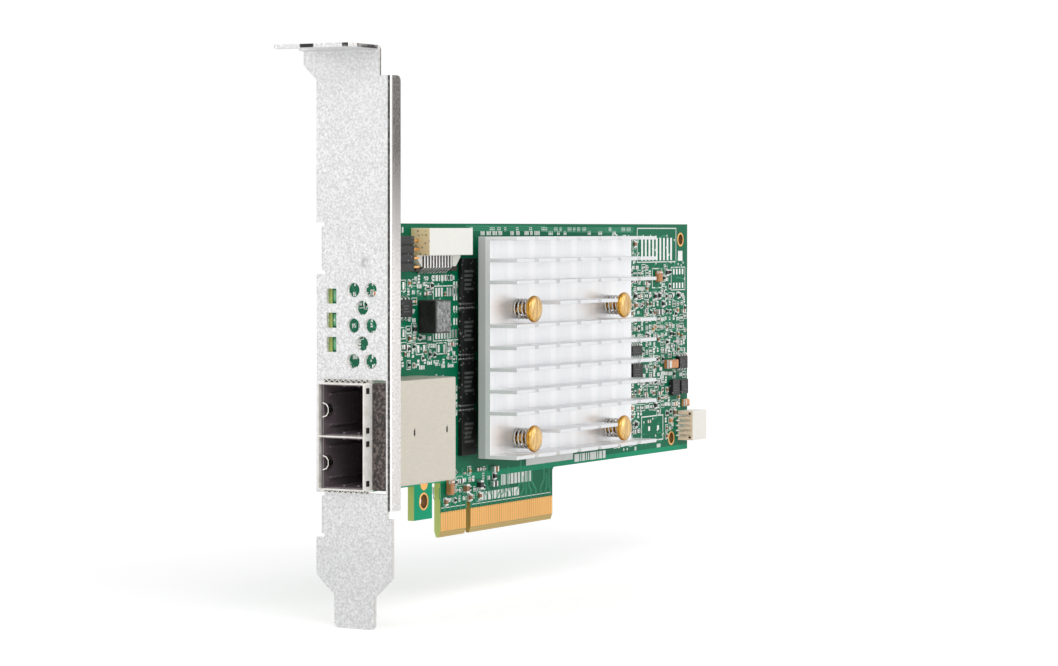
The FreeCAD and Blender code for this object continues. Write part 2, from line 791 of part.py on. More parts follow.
def finger_strip(seat, direction):
    """One strip of grounding fingers, a wave of thin sheet between cage and bracket."""
    start = FACE + CAGE_BACKSET
    pitch = (CAGE_HEIGHT + CAGE_BACKSET - CAGE_WALL) / FINGER_COUNT
    low, high = [], []
    for i in range(FINGER_COUNT):
        for share, rise in ((0, 0), (1 / 3, 0), (2 / 3, 1)):
            y = start - (i + share) * pitch
            lift = rise * (FINGER_SPACE - FINGER_SHEET)
            low.append((y, seat + direction * lift))
            high.append((y, seat + direction * (lift + FINGER_SHEET)))
    return slab_x(low + high[::-1], at(FINGER_START), at(FINGER_END))


def port_spring_fingers():
    return Part.makeCompound([finger_strip(CAGE_TOP, 1), finger_strip(CAGE_BOTTOM, -1)])


# Controller and heat sink

def fin_pitch():
    return (SINK_HEIGHT - FIN_THICK) / (FIN_ROWS - 1)


def chip_centre():
    """The controller sits in the middle of the four pins."""
    places = pin_places()
    return sum(p[0] for p in places) / len(places), sum(p[1] for p in places) / len(places)


def square_block(side, low, high):
    x, z = chip_centre()
    return box(x - side / 2, x + side / 2, out(low), out(high), z - side / 2, z + side / 2)


def lid_top():
    return SUBSTRATE_THICK + LID_THICK


def sink_underside():
    return lid_top() + PAD_THICK


def controller_substrate():
    return square_block(SUBSTRATE_SIDE, 0, SUBSTRATE_THICK)


def controller_lid():
    """A stamped lid: a thin brim all round a raised middle."""
    brim = square_block(LID_SIDE, SUBSTRATE_THICK, SUBSTRATE_THICK + LID_STEP)
    return join([brim, square_block(LID_SIDE - 2 * LID_BRIM, SUBSTRATE_THICK, lid_top())])


def thermal_pad():
    return square_block(PAD_SIDE, lid_top(), sink_underside())


def heat_sink():
    """An extruded sink whose fins are cross-cut, with fins milled away round the pins."""
    left, right = at(SINK_START), at(SINK_START) + SINK_LENGTH
    base_out = sink_underside() + SINK_BASE
    tip_out = base_out + FIN_HEIGHT
    solids = [box(left, right, out(sink_underside()), out(base_out),
                  SINK_BOTTOM, SINK_BOTTOM + SINK_HEIGHT)]
    fin_length = (SINK_LENGTH - (FIN_COLUMNS - 1) * FIN_CUT) / FIN_COLUMNS
    for row in range(1, FIN_ROWS + 1):
        top = SINK_BOTTOM + SINK_HEIGHT - (row - 1) * fin_pitch()
        for column in range(FIN_COLUMNS):
            near_end = min(column, FIN_COLUMNS - 1 - column) < PIN_CLEAR_COLUMNS
            if row in PIN_ROWS and near_end:
                continue
            x = left + column * (fin_length + FIN_CUT)
            solids.append(box(x, x + fin_length, out(base_out), out(tip_out), top - FIN_THICK, top))
    sink = join(solids)
    return sink.cut([
        slab_y(round_points(x, z, PIN_HOLE_DIAMETER), out(0), out(tip_out))
        for x, z in pin_places()
    ])


def push_pins():
    """Brass pins with a mushroom head, pressed through the board to a barbed tip."""
    head_under = sink_underside() + SINK_BASE + SPRING_LENGTH
    face = head_under + PIN_HEAD_THICK
    to_back = face + BOARD_THICK
    neck_end = PIN_HEAD_THICK + PIN_NECK_LENGTH
    sections = [
        (0, PIN_FACE_DIAMETER),
        (PIN_HEAD_CHAMFER, PIN_HEAD_DIAMETER),
        (PIN_HEAD_THICK, PIN_HEAD_DIAMETER),
        (PIN_HEAD_THICK, PIN_NECK_DIAMETER),
        (neck_end, PIN_NECK_DIAMETER),
        (neck_end, PIN_SHAFT_DIAMETER),
        (to_back, PIN_SHAFT_DIAMETER),
        (to_back, PIN_BARB_DIAMETER),
        (to_back + PIN_BARB_LENGTH, PIN_TIP_DIAMETER),
    ]
    return Part.makeCompound([turned_y(x, z, out(face), sections) for x, z in pin_places()])


def coil(x, z, low, high):
    """A coil spring along Y as a flat-sided helix of square wire, between two levels."""
    half = SPRING_WIRE / 2
    radius = SPRING_DIAMETER / 2 - half
    count = int(SPRING_TURNS * SPRING_STEPS)
    rise = (high - low - SPRING_WIRE) / count
    rings = []
    for i in range(count + 1):
        angle = 2 * math.pi * i / SPRING_STEPS
        level = low + half + i * rise
        ring = []
        for dr, dh in ((-half, -half), (half, -half), (half, half), (-half, half)):
            ring.append(vec(
                x + (radius + dr) * math.cos(angle),
                out(level + dh),
                z + (radius + dr) * math.sin(angle),
            ))
        rings.append(ring)
    faces = []
    for here, ahead in zip(rings, rings[1:]):
        for k in range(4):
            a, b = here[k], here[(k + 1) % 4]
            c, d = ahead[(k + 1) % 4], ahead[k]
            faces += [flat_face([a, b, c]), flat_face([a, c, d])]
    faces += [flat_face(rings[0]), flat_face(rings[-1])]
    return solid_of(faces)


def push_pin_springs():
    low = sink_underside() + SINK_BASE
    return Part.makeCompound([coil(x, z, low, low + SPRING_LENGTH) for x, z in pin_places()])


# Connectors

def shroud_levels():
    top = BOARD_TOP - SHROUD_TOP_DROP
    return top - SHROUD_TALL, top


def shroud_housing():
    """The pale shrouded connector at the top edge, open on top, with a lip at its foot."""
    left, right = at(SHROUD_START), at(SHROUD_START) + SHROUD_LENGTH
    low, high = shroud_levels()
    body = box(left, right, out(0), out(SHROUD_HEIGHT), low, high)
    lip = slab_y(
        [
            (left, low), (right, low), (right, low - LIP_DROP + LIP_CHAMFER),
            (right - LIP_CHAMFER, low - LIP_DROP), (left + LIP_CHAMFER, low - LIP_DROP),
            (left, low - LIP_DROP + LIP_CHAMFER),
        ],
        out(0), out(LIP_THICK),
    )
    cavity = box(
        left + SHROUD_WALL, right - SHROUD_WALL,
        out(SHROUD_WALL), out(SHROUD_HEIGHT - SHROUD_WALL),
        high - SHROUD_CAVITY, high + PAST,
    )
    return join([body, lip]).cut(cavity)


def shroud_leads():
    """Leads that step from the housing's foot over the lip down to the board."""
    low = shroud_levels()[0]
    start, t = LIP_THICK, LEAD_THICK
    lip_foot = low - LIP_DROP
    tip = lip_foot - SHROUD_LEAD_FOOT
    profile = [
        (out(start), low), (out(start + t), low), (out(start + t), lip_foot - t),
        (out(t), tip), (out(0), tip), (out(start), lip_foot),
    ]
    leads = []
    for i in range(SHROUD_LEADS):
        x = at(SHROUD_START + SHROUD_LEAD_INSET + i * SHROUD_LEAD_PITCH)
        leads.append(slab_x(profile, x, x + SHROUD_LEAD_WIDTH))
    return Part.makeCompound(leads)


def header_rows():
    top = BOARD_TOP - HEADER_TOP_DROP - HEADER_PITCH / 2
    return [top - i * HEADER_PITCH for i in range(HEADER_ROWS)]


def pin_header_body():
    rows = header_rows()
    left, right = at(HEADER_START), at(HEADER_START) + HEADER_LENGTH
    half = HEADER_PITCH / 2
    body = box(left, right, out(0), out(HEADER_HEIGHT), rows[-1] - half, rows[0] + half)
    grooves = []
    for row in rows[1:]:
        z = row + half
        grooves.append(box(
            left - PAST, right + PAST,
            out(HEADER_HEIGHT - HEADER_GROOVE_DEPTH), out(HEADER_HEIGHT + PAST),
            z - HEADER_GROOVE_WIDTH / 2, z + HEADER_GROOVE_WIDTH / 2,
        ))
    holes = [
        box(left - PAST, right + PAST, out(h - HEADER_PIN / 2), out(h + HEADER_PIN / 2),
            z - HEADER_PIN / 2, z + HEADER_PIN / 2)
        for z in rows for h in HEADER_PIN_LEVELS
    ]
    return body.cut(grooves + holes)


def pin_header_pins():
    left, right = at(HEADER_START), at(HEADER_START) + HEADER_LENGTH
    half = HEADER_PIN / 2
    return Part.makeCompound([
        box(left - HEADER_PIN_TAIL, right + HEADER_PIN_REACH,
            out(h - half), out(h + half), z - half, z + half)
        for z in header_rows() for h in HEADER_PIN_LEVELS
    ])


def side_housing_span():
    right = BOARD_RIGHT + SIDE_HOUSING_OVERHANG
    return right - SIDE_HOUSING_LENGTH, right


def side_contact_rows():
    middle = SIDE_HOUSING_BOTTOM + SIDE_HOUSING_TALL / 2
    return [middle + (i - (SIDE_CONTACTS - 1) / 2) * SIDE_PITCH for i in range(SIDE_CONTACTS)]


def side_header_housing():
    """The ivory side-entry wire connector that overhangs the board's end."""
    left, right = side_housing_span()
    low, high = SIDE_HOUSING_BOTTOM, SIDE_HOUSING_BOTTOM + SIDE_HOUSING_TALL
    body = box(left, right, out(0), out(SIDE_HOUSING_HEIGHT), low, high)
    cavity = box(
        right - SIDE_CAVITY, right + PAST,
        out(SIDE_WALL), out(SIDE_HOUSING_HEIGHT - SIDE_WALL),
        low + SIDE_WALL, high - SIDE_WALL,
    )
    cuts = [cavity]
    middle, half = SIDE_HOUSING_HEIGHT / 2, SIDE_PIN / 2
    for z in side_contact_rows():
        cuts.append(box(
            left - PAST, left + SIDE_SLOT_DEPTH, out(0), out(SIDE_HOUSING_HEIGHT - SIDE_WALL),
            z - SIDE_SLOT / 2, z + SIDE_SLOT / 2,
        ))
        cuts.append(box(left, right, out(middle - half), out(middle + half), z - half, z + half))
    return body.cut(cuts)


def side_header_contacts():
    """Square contact pins through the housing, each with a tail down to the board."""
    left, right = side_housing_span()
    middle, half = SIDE_HOUSING_HEIGHT / 2, SIDE_PIN / 2
    back = left - LEAD_THICK
    contacts = []
    for z in side_contact_rows():
        pin = box(back, right - SIDE_PIN_RECESS, out(middle - half), out(middle + half),
                  z - half, z + half)
        tail = box(back, left, out(0), out(middle + half), z - half, z + half)
        foot = box(left - SIDE_FOOT, left, out(0), out(LEAD_THICK), z - half, z + half)
        contacts.append(join([pin, tail, foot]))
    return Part.makeCompound(contacts)


# Chips, inductor and small parts

def part_block(part):
    start, low, length, tall, height = part
    return box(at(start), at(start) + length, out(CHIP_GAP), out(height), low, low + tall)


def power_inductor():
    left, right = at(INDUCTOR_START), at(INDUCTOR_START) + INDUCTOR_LENGTH
    body = box(left, right, out(INDUCTOR_TERMINAL), out(INDUCTOR_HEIGHT),
               INDUCTOR_BOTTOM, INDUCTOR_BOTTOM + INDUCTOR_TALL)
    rim = [e for e in body.Edges if abs(e.CenterOfMass.y - out(INDUCTOR_HEIGHT)) < SAME_PLACE]
    return body.makeChamfer(INDUCTOR_CHAMFER, rim)


def inductor_terminals():
    left, right = at(INDUCTOR_START), at(INDUCTOR_START) + INDUCTOR_LENGTH
    top = INDUCTOR_BOTTOM + INDUCTOR_TALL - TERMINAL_DEPTH
    return Part.makeCompound([
        box(left + TERMINAL_INSET, right - TERMINAL_INSET,
            out(0), out(INDUCTOR_TERMINAL), z, z + TERMINAL_DEPTH)
        for z in (INDUCTOR_BOTTOM, top)
    ])


def small_chips():
    return Part.makeCompound([part_block(part) for part in LEADED_CHIPS + FLAT_CHIPS])


def gull_lead(x, z_body, outward, height):
    """One gull-wing lead from a chip's side down to the board."""
    t, mid = LEAD_THICK, height / 2
    shoulder, toe = outward * LEAD_SHOULDER, outward * LEAD_REACH
    profile = [
        (z_body, mid), (z_body, mid + t), (z_body + shoulder, mid + t),
        (z_body + toe, t), (z_body + toe, 0), (z_body + shoulder - outward * t, 0),
    ]
    outline = [(out(h), z) for z, h in profile]
    return slab_x(outline, x - LEAD_WIDTH / 2, x + LEAD_WIDTH / 2)


def chip_leads():
    leads = []
    for start, low, length, tall, height in LEADED_CHIPS:
        count = int(length / LEAD_PITCH)
        for i in range(count):
            x = at(start) + length * (i + 0.5) / count
            leads.append(gull_lead(x, low, -1, height))
            leads.append(gull_lead(x, low + tall, 1, height))
    return Part.makeCompound(leads)


def memory_places():
    return [
        (MEMORY_START, MEMORY_BOTTOM + i * MEMORY_PITCH, MEMORY_LENGTH, MEMORY_TALL, MEMORY_HEIGHT)
        for i in range(MEMORY_COUNT)
    ]


def memory_chips():
    return Part.makeCompound([part_block(part) for part in memory_places()])


def tantalum_capacitors():
    bodies = []
    for part in TANTALUM_CAPACITORS:
        body = part_block(part)
        rim = [e for e in body.Edges if abs(e.CenterOfMass.y - out(part[4])) < SAME_PLACE]
        bodies.append(body.makeChamfer(TANTALUM_CHAMFER, rim))
    return Part.makeCompound(bodies)


def widened(x0, x1, z0, z1, margin):
    return x0 - margin, x1 + margin, z0 - margin, z1 + margin


def keep_out_zones():
    """Ground already taken on the component side: (x0, x1, z0, z1)."""
    low, high = shroud_levels()
    rows = header_rows()
    left, right = side_housing_span()
    sink_left, label_left, label_low = at(SINK_START), at(LABEL_START), label_bottom()
    zones = [
        (at(MEMORY_START), sink_left + SINK_LENGTH, SINK_BOTTOM, BOARD_TOP),
        (at(0), at(CAGE_END), CAGE_BOTTOM, CAGE_TOP),
        (at(SHROUD_START), at(SHROUD_START) + SHROUD_LENGTH,
         low - LIP_DROP - SHROUD_LEAD_FOOT, BOARD_TOP),
        (at(HEADER_START), at(SHROUD_START), rows[-1] - HEADER_PITCH, BOARD_TOP),
        (left - SIDE_FOOT, right, SIDE_HOUSING_BOTTOM, SIDE_HOUSING_BOTTOM + SIDE_HOUSING_TALL),
        (label_left, label_left + LABEL_LENGTH, label_low, label_low + LABEL_TALL),
    ]
    inductor = (INDUCTOR_START, INDUCTOR_BOTTOM, INDUCTOR_LENGTH, INDUCTOR_TALL, INDUCTOR_HEIGHT)
    for start, bottom, length, tall, height in TANTALUM_CAPACITORS + FLAT_CHIPS + [inductor]:
        zones.append((at(start), at(start) + length, bottom, bottom + tall))
    zones = [widened(*zone, CLEAR_OF_PARTS) for zone in zones]
    for x, z in lug_holes():
        zones.append(widened(x, x, z, z, CLEAR_OF_SCREW))
    for x, z, diameter in ringed_holes():
        zones.append(widened(x, x, z, z, diameter))
    for start, bottom, length, tall, height in LEADED_CHIPS:
        zones.append(widened(at(start), at(start) + length, bottom, bottom + tall, CLEAR_OF_LEADS))
    return zones


def is_free(x0, x1, z0, z1, zones):
    return all(x1 <= a or x0 >= b or z1 <= c or z0 >= d for a, b, c, d in zones)


def small_parts():
    """The small parts' places: (x, z, length, width, height, upright, kind). Sizes and
    directions follow the count, so that neighbours differ as they do on a routed board."""
    zones = keep_out_zones()
    placed = []
    for field, (start, end, low, high, step_x, step_z) in enumerate(SMALL_PART_FIELDS):
        for row in range(int((high - low) / step_z)):
            for column in range(int((end - start) / step_x)):
                count = 3 * row + 5 * column + 2 * field
                length, width, height = SMALL_CASES[(count + row * column) % len(SMALL_CASES)]
                upright = (row + column // 2) % 3 == 0
                spread_x, spread_z = (width, length) if upright else (length, width)
                x = at(start) + (column + 0.5) * step_x + SMALL_PART_STRAY * math.sin(count)
                z = low + (row + 0.5) * step_z + SMALL_PART_STRAY * math.cos(2 * count)
                if is_free(x - spread_x / 2, x + spread_x / 2, z - spread_z / 2,
                           z + spread_z / 2, zones):
                    kind = "capacitor" if (count // 2) % 3 else "resistor"
                    placed.append((x, z, length, width, height, upright, kind))
    return placed


def small_part_body(place, level, outward):
    """The middle of a small part, between its two metal ends."""
    x, z, length, width, height, upright, kind = place
    half = length * (0.5 - END_SHARE)
    side = width / 2 - BODY_RECESS
    dx, dz = (side, half) if upright else (half, side)
    return box(x - dx, x + dx, level, level + outward * (height - BODY_RECESS), z - dz, z + dz)


def small_part_ends(place, level, outward):
    x, z, length, width, height, upright, kind = place
    top, half = level + outward * height, width / 2
    ends = []
    for side in (-1, 1):
        near, far = side * length * (0.5 - END_SHARE), side * length / 2
        if upright:
            ends.append(box(x - half, x + half, level, top, z + near, z + far))
        else:
            ends.append(box(x + near, x + far, level, top, z - half, z + half))
    return ends


def ceramic_capacitors():
    return Part.makeCompound([
        small_part_body(p, FACE, -1) for p in small_parts() if p[6] == "capacitor"
    ])


def chip_resistors():
    return Part.makeCompound([
        small_part_body(p, FACE, -1) for p in small_parts() if p[6] == "resistor"
    ])


def small_part_terminals():
    ends = []
    for place in small_parts():
        ends += small_part_ends(place, FACE, -1)
    return Part.makeCompound(ends)


def back_places():
    x0, z0 = chip_centre()
    places = []
    for row in range(BACK_ROWS):
        for column in range(BACK_COLUMNS):
            x = x0 + (column - (BACK_COLUMNS - 1) / 2) * BACK_PITCH
            z = z0 + (row - (BACK_ROWS - 1) / 2) * BACK_PITCH
            places.append((x, z, *BACK_CASE, (row + column) % 2 == 0, "capacitor"))
    return places


def solder_side_capacitors():
    return Part.makeCompound([small_part_body(p, BACK, 1) for p in back_places()])


def solder_side_terminals():
    ends = []
    for place in back_places():
        ends += small_part_ends(place, BACK, 1)
    return Part.makeCompound(ends)


def status_leds():
    """Side-view lamps near the board's edge, behind the bracket's slots."""
    back = BOARD_LEFT + LED_SETBACK
    front = back - LED_LENGTH
    lamps = []
    for z in led_rows():
        half, lens = LED_WIDTH / 2, LED_LENS_WIDTH / 2
        base = box(front, back, out(0), out(LED_HEIGHT), z - half, z + half)
        dome = box(front - LED_LENS_REACH, front,
                   out(LED_LENS_INSET), out(LED_HEIGHT - LED_LENS_INSET), z - lens, z + lens)
        lamps.append(join([base, dome]))
    return Part.makeCompound(lamps)


def label_bottom():
    """The label lies just below the controller's substrate, under the heat sink's edge."""
    return chip_centre()[1] - SUBSTRATE_SIDE / 2 - LABEL_CLEARANCE - LABEL_TALL


def board_label():
    left, low = at(LABEL_START), label_bottom()
    return box(left, left + LABEL_LENGTH, out(0), out(LABEL_THICK), low, low + LABEL_TALL)


def build():
    lower, upper = bay_spans()
    return {
        "bracket": bracket(),
        "bracket_screws": bracket_screws(),
        "circuit_board": circuit_board(),
        "plated_rings": plated_rings(),
        "edge_contacts_front": edge_contacts(FACE, -1),
        "edge_contacts_back": edge_contacts(BACK, 1),
        "port_cage": port_cage(),
        "port_gasket": port_gasket(),
        "port_spring_fingers": port_spring_fingers(),
        "port_receptacle_lower": port_receptacle(*lower),
        "port_receptacle_upper": port_receptacle(*upper),
        "controller_substrate": controller_substrate(),
        "controller_lid": controller_lid(),
        "thermal_pad": thermal_pad(),
        "heat_sink": heat_sink(),
        "push_pins": push_pins(),
        "push_pin_springs": push_pin_springs(),
        "shroud_housing": shroud_housing(),
        "shroud_leads": shroud_leads(),
        "pin_header_body": pin_header_body(),
        "pin_header_pins": pin_header_pins(),
        "side_header_housing": side_header_housing(),
        "side_header_contacts": side_header_contacts(),
        "power_inductor": power_inductor(),
        "inductor_terminals": inductor_terminals(),
        "leaded_chips": small_chips(),
        "chip_leads": chip_leads(),
        "memory_chips": memory_chips(),
        "tantalum_capacitors": tantalum_capacitors(),
        "ceramic_capacitors": ceramic_capacitors(),
        "chip_resistors": chip_resistors(),
        "small_part_terminals": small_part_terminals(),
        "solder_side_capacitors": solder_side_capacitors(),
        "solder_side_terminals": solder_side_terminals(),
        "status_leds": status_leds(),
        "board_label": board_label(),
    }


os.makedirs("parts", exist_ok=True)
for name, shape in build().items():
    if not shape.isValid():
        raise ValueError(name + " is not a valid shape")
    shape.exportStep(os.path.join("parts", name + ".step"))
    print(name, len(shape.Solids), "solids", round(shape.Volume, 2), "mm3")
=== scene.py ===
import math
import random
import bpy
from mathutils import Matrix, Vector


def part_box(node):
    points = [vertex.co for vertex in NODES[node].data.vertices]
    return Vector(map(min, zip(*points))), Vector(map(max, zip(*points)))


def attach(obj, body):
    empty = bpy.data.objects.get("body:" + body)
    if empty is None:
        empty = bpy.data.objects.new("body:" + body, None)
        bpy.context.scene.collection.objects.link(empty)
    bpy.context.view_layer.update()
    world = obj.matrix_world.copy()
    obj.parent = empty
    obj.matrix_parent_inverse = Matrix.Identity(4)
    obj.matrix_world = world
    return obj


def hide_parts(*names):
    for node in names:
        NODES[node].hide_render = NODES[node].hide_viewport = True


bl_info = {
    "name": "Storage controller card",
    "version": (1, 0, 0),
    "blender": (4, 5, 0),
    "location": "View3D > Sidebar > Controller card",
    "description": "Dresses the packed controller card with finishes and fine parts, in a studio",
    "category": "Object",
}

import bmesh
import bpy
from mathutils import Vector

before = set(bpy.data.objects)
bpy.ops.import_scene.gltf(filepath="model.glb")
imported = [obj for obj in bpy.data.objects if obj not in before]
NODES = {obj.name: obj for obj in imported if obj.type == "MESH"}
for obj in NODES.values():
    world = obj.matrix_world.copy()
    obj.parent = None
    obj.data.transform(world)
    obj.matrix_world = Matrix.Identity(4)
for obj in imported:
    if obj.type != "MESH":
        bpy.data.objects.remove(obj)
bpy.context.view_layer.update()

# Places in the card's frame, in metres. X runs away from the bracket, the component side
# faces -Y, and Z is up from the slot.
MM = 0.001
BRACKET_FACE = -57.15 * MM
FACE = -0.785 * MM
BACK = 0.785 * MM
FLOOR_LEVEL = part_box("bracket")[0].z

# Forward is out through the bracket, and outward is away from the component face
FORWARD, BACKWARD = (-1, 0, 0), (1, 0, 0)
OUTWARD, INWARD = (0, -1, 0), (0, 1, 0)
UP = (0, 0, 1)


def at(distance):
    """The X of a place this many millimetres behind the bracket's outer face."""
    return BRACKET_FACE + distance * MM


def out(height):
    """The Y of a place this many millimetres out from the component face."""
    return FACE - height * MM


def span(x0, x1, z0, z1):
    """A rectangle on the board, from millimetres behind the bracket and up from the slot."""
    return at(x0), at(x1), z0 * MM, z1 * MM


def paint(red, green, blue):
    """A colour given as 0 to 255 display values, as the linear values that shaders take."""
    def straight(value):
        share = value / 255
        return share / 12.92 if share <= 0.04045 else ((share + 0.055) / 1.055) ** 2.4

    return straight(red), straight(green), straight(blue)


# Settings that a user can change

def colour_setting(name, description, *values):
    return bpy.props.FloatVectorProperty(
        name=name, description=description, subtype="COLOR", size=3, min=0, max=1,
        default=paint(*values),
    )


def length_setting(name, description, millimetres, largest):
    return bpy.props.FloatProperty(
        name=name, description=description, subtype="DISTANCE", unit="LENGTH",
        default=millimetres * MM, min=0.01 * MM, max=largest * MM, precision=5,
    )


class CardColours(bpy.types.PropertyGroup):
    bracket: colour_setting("Bracket", "Zinc-plated sheet of the bracket", 231, 231, 232)
    mask: colour_setting("Solder mask", "Green coating on both faces of the board", 0, 112, 78)
    laminate: colour_setting("Laminate edge", "Bare glass laminate on the board's edges",
                             198, 214, 128)
    print_ink: colour_setting("Print ink", "Marks and outlines on the board", 252, 254, 251)
    gold: colour_setting("Gold plate", "Edge fingers and plated holes", 243, 182, 108)
    cage: colour_setting("Port cage", "Sheet of the port cage", 208, 201, 188)
    foam: colour_setting("Contact foam", "Conductive foam strip beside the ports", 40, 31, 29)
    sink: colour_setting("Heat sink", "Clear-finished aluminium", 252, 252, 254)
    brass: colour_setting("Spring pins", "Brass of the four sprung pins", 214, 158, 66)
    spring: colour_setting("Springs", "Bright spring wire", 196, 194, 190)
    shroud: colour_setting("Top connector", "Cream moulding at the top edge", 254, 251, 243)
    side_housing: colour_setting("Side connector", "Ivory moulding at the far end",
                                 252, 247, 238)
    black: colour_setting("Black mouldings", "Chips, header and port blocks", 13, 14, 14)
    inductor: colour_setting("Inductor", "Pressed iron powder", 30, 29, 28)
    tinned: colour_setting("Tinned metal", "Leads, part ends and solder", 238, 238, 236)
    capacitor: colour_setting("Capacitors", "Fired ceramic bodies", 150, 108, 74)
    # Painted reflection: the port lining's colour is lifted to a purple grey
    port: colour_setting("Port lining", "Dark moulding inside the two ports", 122, 110, 116)
    tantalum: colour_setting("Moulded capacitors", "Ochre moulded bodies", 212, 146, 92)
    label: colour_setting("Label", "Blank white label", 238, 240, 238)


class CardSizes(bpy.types.PropertyGroup):
    sheet_edge: length_setting("Sheet edge", "Rounding on the bracket's sheared edges", 0.1, 0.3)
    fin_edge: length_setting("Fin edge", "Rounding on the heat sink's cut edges", 0.09, 0.3)
    board_edge: length_setting("Board edge", "Rounding on the board's routed edges", 0.07, 0.3)
    moulding_edge: length_setting("Moulding edge", "Rounding on moulded housings", 0.12, 0.4)
    chip_edge: length_setting("Chip edge", "Rounding on chips and small parts", 0.06, 0.2)
    spring_wire: length_setting("Spring wire", "Diameter of the pins' spring wire", 0.5, 0.6)
    trace_width: length_setting("Trace width", "Width of the routed copper lines", 0.2, 0.4)
    via_width: length_setting("Via width", "Diameter of the small plated holes' pads", 0.6, 1.0)


def colours():
    return bpy.context.scene.card_colours


def sizes():
    return bpy.context.scene.card_sizes


# Node trees

class Tree:
    """A material's or a group's nodes, added and linked with short calls."""

    def __init__(self, tree):
        self.nodes, self.links = tree.nodes, tree.links

    def add(self, kind, inputs=None, **settings):
        node = self.nodes.new("ShaderNode" + kind)
        for key, value in settings.items():
            setattr(node, key, value)
        for key, value in (inputs or {}).items():
            self.feed(node.inputs[key], value)
        return node

    def feed(self, socket, value):
        if isinstance(value, bpy.types.NodeSocket):
            self.links.new(value, socket)
        elif socket.type == "RGBA" and len(value) == 3:
            socket.default_value = (*value, 1)
        else:
            socket.default_value = value

    def math(self, operation, first, second=0.0, clamp=False):
        node = self.add("Math", {0: first, 1: second}, operation=operation, use_clamp=clamp)
        return node.outputs[0]

    def times(self, first, *others):
        """The product of two or more values."""
        for other in others:
            first = self.math("MULTIPLY", first, other)
        return first

    def rest(self, value):
        """What a value from 0 to 1 leaves of 1."""
        return self.math("SUBTRACT", 1.0, value)

    def mix(self, factor, first, second):
        return self.add("Mix", {0: factor, 6: first, 7: second}, data_type="RGBA").outputs[2]

    def stretch(self, value, low, high, to_low=0.0, to_high=1.0):
        """A value's range from low to high, as a clamped range from to_low to to_high."""
        return self.add("MapRange", {0: value, 1: low, 2: high, 3: to_low, 4: to_high}).outputs[0]

    def place(self):
        return self.add("TexCoord").outputs["Object"]

    def normal(self):
        return self.add("NewGeometry").outputs["Normal"]

    def split(self, vector):
        return self.add("SeparateXYZ", {0: vector}).outputs

    def dot(self, first, second):
        node = self.add("VectorMath", {0: first, 1: second}, operation="DOT_PRODUCT")
        return node.outputs["Value"]

    def noise(self, scale, detail, place=None, **more):
        inputs = {"Vector": place or self.place(), "Scale": scale, "Detail": detail, **more}
        return self.add("TexNoise", inputs).outputs["Fac"]

    def cells(self, scale):
        return self.add("TexVoronoi", {"Vector": self.place(), "Scale": scale}).outputs

    def threads(self, way, scale, distortion, **more):
        """Even threads or layers across X, Y or Z."""
        inputs = {"Vector": self.place(), "Scale": scale, "Distortion": distortion, **more}
        return self.add("TexWave", inputs, bands_direction=way).outputs["Fac"]

    def group(self, name, **inputs):
        """The output of an effect group, which is built the first time that it is used."""
        made = bpy.data.node_groups.get(name) or GROUPS[name]()
        return self.add("Group", inputs, node_tree=made).outputs[0]

    def grain(self, scale, contrast, stretch=(1.0, 1.0, 1.0)):
        return self.group("grain", Scale=scale, Stretch=stretch, Contrast=contrast)

    def patches(self, scale, low, high):
        return self.group("patches", Scale=scale, From=low, To=high)

    def specks(self, scale, size, share):
        return self.group("specks", Scale=scale, Size=size, Share=share)

    def wear(self, radius, gain, scale=900.0):
        return self.group("edge_wear", Radius=radius * MM, Gain=gain, Scale=scale)

    def facing(self, direction):
        return self.group("facing", Direction=direction)

    def along(self, direction, low, high):
        return self.group("along", Direction=direction, From=low, To=high)

    def band(self, direction, low, high):
        """1 between two places along a direction, and 0 outside them."""
        soft = 0.1 * MM
        start = self.along(direction, low - soft, low)
        return self.times(start, self.rest(self.along(direction, high, high + soft)))


def new_group(name, output, **inputs):
    """An empty effect group with its named inputs and one output: (group, tree, in, out)."""
    made = bpy.data.node_groups.new(name, "ShaderNodeTree")
    for label, value in inputs.items():
        kind = "NodeSocketVector" if isinstance(value, tuple) else "NodeSocketFloat"
        socket = made.interface.new_socket(name=label, in_out="INPUT", socket_type=kind)
        socket.default_value = value
    made.interface.new_socket(name=output, in_out="OUTPUT", socket_type="NodeSocketFloat")
    start = made.nodes.new("NodeGroupInput")
    end = made.nodes.new("NodeGroupOutput")
    return made, Tree(made), start.outputs, end.inputs[0]


def grain_group():
    """Fine all-over grain, stretched along an axis where it is drawn or brushed."""
    made, tree, given, result = new_group(
        "grain", "Value", Scale=2000.0, Stretch=(1.0, 1.0, 1.0), Contrast=1.0
    )
    place = tree.add("VectorMath", {0: tree.place(), 1: given["Stretch"]}, operation="MULTIPLY")
    noise = tree.noise(given["Scale"], 5.0, place.outputs[0], Roughness=0.65)
    centred = tree.times(tree.math("SUBTRACT", noise, 0.5), given["Contrast"])
    tree.feed(result, tree.math("ADD", centred, 0.5, clamp=True))
    return made


def patches_group():
    """Large soft patches, such as handling marks and uneven plating."""
    made, tree, given, result = new_group("patches", "Mask", Scale=60.0, From=0.4, To=0.7)
    noise = tree.noise(given["Scale"], 3.0, Distortion=0.6)
    tree.feed(result, tree.stretch(noise, given["From"], given["To"]))
    return made


def specks_group():
    """Scattered round specks; Share is how many cells hold one."""
    made, tree, given, result = new_group("specks", "Mask", Scale=900.0, Size=0.25, Share=0.3)
    cells = tree.cells(given["Scale"])
    near = tree.math("LESS_THAN", cells["Distance"], given["Size"])
    chance = tree.add("SeparateColor", {0: cells["Color"]}).outputs[0]
    tree.feed(result, tree.times(near, tree.math("LESS_THAN", chance, given["Share"])))
    return made


